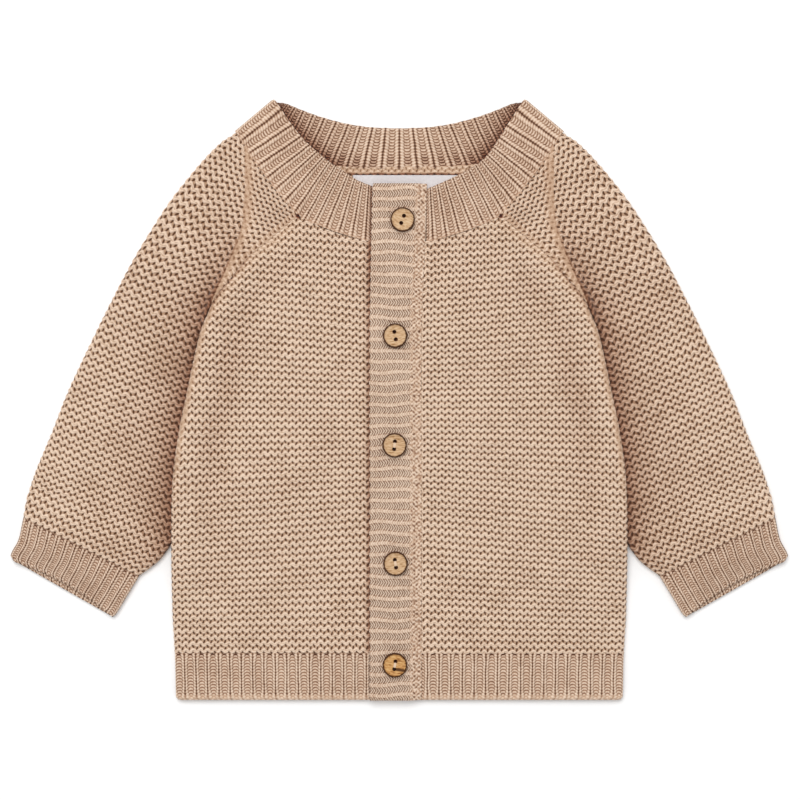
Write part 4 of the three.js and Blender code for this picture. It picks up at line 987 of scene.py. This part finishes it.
def button_wood(name, tones, crack):
    """Close-grained wood, scorched dark brown at the rim, with painted shade inside the holes and round their
    mouths, and a dark crack or none.
    """
    material, tree, shader = new_material(name, 0.55)
    turned = tree.nodes.new("ShaderNodeAttribute")
    turned.attribute_name = "turned"
    place = turned.outputs["Vector"]
    shader.inputs["Specular IOR Level"].default_value = 0.08
    stretched = add(tree, "ShaderNodeVectorMath", place, (0.22, 1.0, 1.0), operation="MULTIPLY")
    grain = add(tree, "ShaderNodeTexNoise", stretched, named={"Scale": 1.6, "Detail": 4.0, "Distortion": 0.6})
    split = tree.nodes.new("ShaderNodeSeparateXYZ")
    tree.links.new(place, split.inputs[0])
    flat = add(tree, "ShaderNodeCombineXYZ", split.outputs["X"], split.outputs["Y"])
    radius = add(tree, "ShaderNodeVectorMath", flat, operation="LENGTH")
    radius = radius.node.outputs["Value"]
    ramp = tree.nodes.new("ShaderNodeValToRGB")
    ramp.color_ramp.elements[0].position = 0.3
    ramp.color_ramp.elements[0].color = to_linear(tones[0])
    ramp.color_ramp.elements[1].position = 0.75
    ramp.color_ramp.elements[1].color = to_linear(tones[2])
    ramp.color_ramp.elements.new(0.5).color = to_linear(tones[1])
    tree.links.new(grain, ramp.inputs[0])
    blotch = add(tree, "ShaderNodeTexNoise", place, named={"Scale": 0.9, "Detail": 2.0})
    edge = add(tree, "MULTIPLY_ADD", blotch, 1.0, add(tree, "SUBTRACT", radius, 0.5))
    scorch = add(tree, "ShaderNodeMapRange", edge, 5.45, 6.15, 0.0, 0.97, interpolation_type="SMOOTHSTEP")
    holes = add(tree, "SUBTRACT", add(tree, "ABSOLUTE", split.outputs["Y"]), HOLE_SPACING / 2)
    holes = add(tree, "ShaderNodeCombineXYZ", split.outputs["X"], holes)
    to_hole = add(tree, "ShaderNodeVectorMath", holes, operation="LENGTH").node.outputs["Value"]
    # Painted shade inside the holes and round their mouths.
    hole_shade = add(
        tree, "ShaderNodeMapRange", to_hole, HOLE_R * 1.02, HOLE_R * 1.35, 1.0, 0.0,
        interpolation_type="SMOOTHSTEP",
    )
    dark = add(tree, "MAXIMUM", scorch, hole_shade)
    from_crack = add(tree, "ABSOLUTE", add(tree, "ADD", split.outputs["Y"], HOLE_SPACING / 2))
    cracked = add(tree, "ShaderNodeMapRange", from_crack, 0.55, 1.05, crack, 0.0)
    beside = add(tree, "ShaderNodeMapRange", split.outputs["X"], 0.0, 1.0)
    dark = add(tree, "MAXIMUM", dark, add(tree, "MULTIPLY", cracked, beside))
    # The scorch, the painted hole shade and the crack all take the same dark brown.
    scorched_and_shaded = tree.nodes.new("ShaderNodeMix")
    scorched_and_shaded.data_type = "RGBA"
    tree.links.new(dark, scorched_and_shaded.inputs["Factor"])
    tree.links.new(ramp.outputs[0], scorched_and_shaded.inputs[6])
    scorched_and_shaded.inputs[7].default_value = to_linear("#3b1a05")
    tree.links.new(scorched_and_shaded.outputs[2], shader.inputs["Base Color"])
    bump = add(tree, "ShaderNodeBump", named={"Strength": 0.25, "Distance": 0.1 * MM, "Height": grain})
    tree.links.new(bump, shader.inputs["Normal"])
    return material


def turned_button(name, place, material):
    """One button: its profile spun round, its holes cut by a sunk cylinder each, turned and set in place."""
    bm = bmesh.new()
    profile = [bm.verts.new((r, 0, z)) for r, z in BUTTON_PROFILE]
    edges = [bm.edges.new(pair) for pair in zip(profile, profile[1:])]
    bmesh.ops.spin(bm, geom=profile + edges, cent=(0, 0, 0), axis=(0, 0, 1), angle=2 * math.pi, steps=64)
    bmesh.ops.remove_doubles(bm, verts=bm.verts, dist=1e-4)
    bmesh.ops.recalc_face_normals(bm, faces=bm.faces)
    mesh = bpy.data.meshes.new(name)
    bm.to_mesh(mesh)
    bm.free()
    disc = bpy.data.objects.new("disc", mesh)
    bpy.context.scene.collection.objects.link(disc)
    drill_bm = bmesh.new()
    for side in (-1, 1):
        drill = bmesh.ops.create_cone(
            drill_bm, cap_ends=True, segments=20, radius1=HOLE_R, radius2=HOLE_R, depth=9,
        )
        bmesh.ops.translate(drill_bm, verts=drill["verts"], vec=(0, side * HOLE_SPACING / 2, 0))
    drill_mesh = bpy.data.meshes.new("drill")
    drill_bm.to_mesh(drill_mesh)
    drill_bm.free()
    drills = bpy.data.objects.new("drill", drill_mesh)
    bpy.context.scene.collection.objects.link(drills)
    cut = disc.modifiers.new("holes", "BOOLEAN")
    cut.operation = "DIFFERENCE"
    cut.object = drills
    bpy.context.view_layer.update()
    drilled = bpy.data.meshes.new_from_object(disc.evaluated_get(bpy.context.evaluated_depsgraph_get()))
    bpy.data.objects.remove(disc)
    bpy.data.objects.remove(drills)
    local = np.zeros(len(drilled.vertices) * 3, np.float32)
    drilled.vertices.foreach_get("co", local)
    local = local.reshape(-1, 3)
    turned = drilled.attributes.new("turned", "FLOAT_VECTOR", "POINT")
    turned.data.foreach_set("vector", (local + (0, 0, 7.3 * place["y"])).astype(np.float32).ravel())
    angle = math.radians(place["turn"])
    x = local[:, 0] * math.cos(angle) - local[:, 1] * math.sin(angle) + place["x"]
    y = local[:, 0] * math.sin(angle) + local[:, 1] * math.cos(angle) + place["y"]
    final = np.stack([x, y, local[:, 2] + BUTTON_Z], axis=1) * MM
    drilled.vertices.foreach_set("co", final.astype(np.float32).ravel())
    drilled.name = name
    drilled.set_sharp_from_angle(angle=math.radians(38))
    return link_mesh(name, drilled, material)


def sewing_thread(name, place, material):
    """Strands of thread over the bridge between the holes, and down into them."""
    turn = Matrix.Rotation(math.radians(place["turn"]), 3, "Z")
    bm = bmesh.new()
    for sideways in (-0.42, 0, 0.42):
        strand = bmesh.ops.create_circle(bm, segments=8, radius=THREAD_R)["verts"]
        bmesh.ops.translate(bm, verts=strand, vec=(sideways, BRIDGE / 2, 0))
        edges = list({e for v in strand for e in v.link_edges})
        bmesh.ops.spin(bm, geom=strand + edges, cent=(0, 0, 0), axis=(1, 0, 0), angle=math.pi, steps=14)
    bmesh.ops.scale(bm, verts=bm.verts, vec=(1, 1, 0.42))
    bmesh.ops.holes_fill(bm, edges=bm.edges, sides=0)
    bmesh.ops.recalc_face_normals(bm, faces=bm.faces)
    bmesh.ops.translate(bm, verts=bm.verts, vec=(0, 0, BUTTON_H - BUTTON_DISH - 0.35))
    bmesh.ops.rotate(bm, verts=bm.verts, cent=(0, 0, 0), matrix=turn)
    bmesh.ops.translate(bm, verts=bm.verts, vec=(place["x"], place["y"], BUTTON_Z))
    bmesh.ops.scale(bm, verts=bm.verts, vec=(MM, MM, MM))
    mesh = bpy.data.meshes.new(name)
    for face in bm.faces:
        face.smooth = True
    bm.to_mesh(mesh)
    bm.free()
    return link_mesh(name, mesh, material)


wood = button_wood("pale turned wood", ("#946c43", "#c6a27c", "#d6bc9a"), 0)
orange_wood = button_wood("orange turned wood", ("#7d4a20", "#c39159", "#dcb880"), 0.9)
cotton, _, cotton_shader = new_material("beige sewing thread", 0.8)
cotton_shader.inputs["Base Color"].default_value = to_linear("#dcc0a4")
for number, place in enumerate(BUTTONS, start=1):
    button = turned_button(f"button_{number}_wood", place, orange_wood if number == 5 else wood)
    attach(button, "root")
    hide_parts(f"button_{number}")
    if place["thread"]:
        thread = sewing_thread(f"button_{number}_thread", place, cotton)
        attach(thread, "root")

# Camera and light
# The camera looks straight down from where the picture was taken. A wide soft light hangs over the table.
CAMERA_X = 0.385
CAMERA_Y = -0.275
FRAME_WIDTH = 440
LENS = 85
SENSOR = 36
camera_data = bpy.data.cameras.new("camera")
camera_data.lens = LENS
camera_data.sensor_width = SENSOR
camera = bpy.data.objects.new("camera", camera_data)
camera.location = (CAMERA_X * MM, CAMERA_Y * MM, (FRAME_WIDTH * LENS / SENSOR + 3) * MM)
bpy.context.scene.collection.objects.link(camera)
bpy.context.scene.camera = camera

lamp_data = bpy.data.lights.new("softbox", "AREA")
lamp_data.shape = "DISK"
lamp_data.size = 1.1
lamp_data.energy = 19
lamp = bpy.data.objects.new("softbox", lamp_data)
lamp.location = (-0.2, 0.6, 1.6)
lamp.rotation_euler = (math.radians(-20.5), math.radians(-7), 0)
bpy.context.scene.collection.objects.link(lamp)

world = bpy.data.worlds.new("studio")
world.use_nodes = True
world.node_tree.nodes["Background"].inputs["Color"].default_value = (1, 1, 1, 1)
world.node_tree.nodes["Background"].inputs["Strength"].default_value = 0.62
bpy.context.scene.world = world
bpy.context.scene.view_settings.view_transform = "Standard"
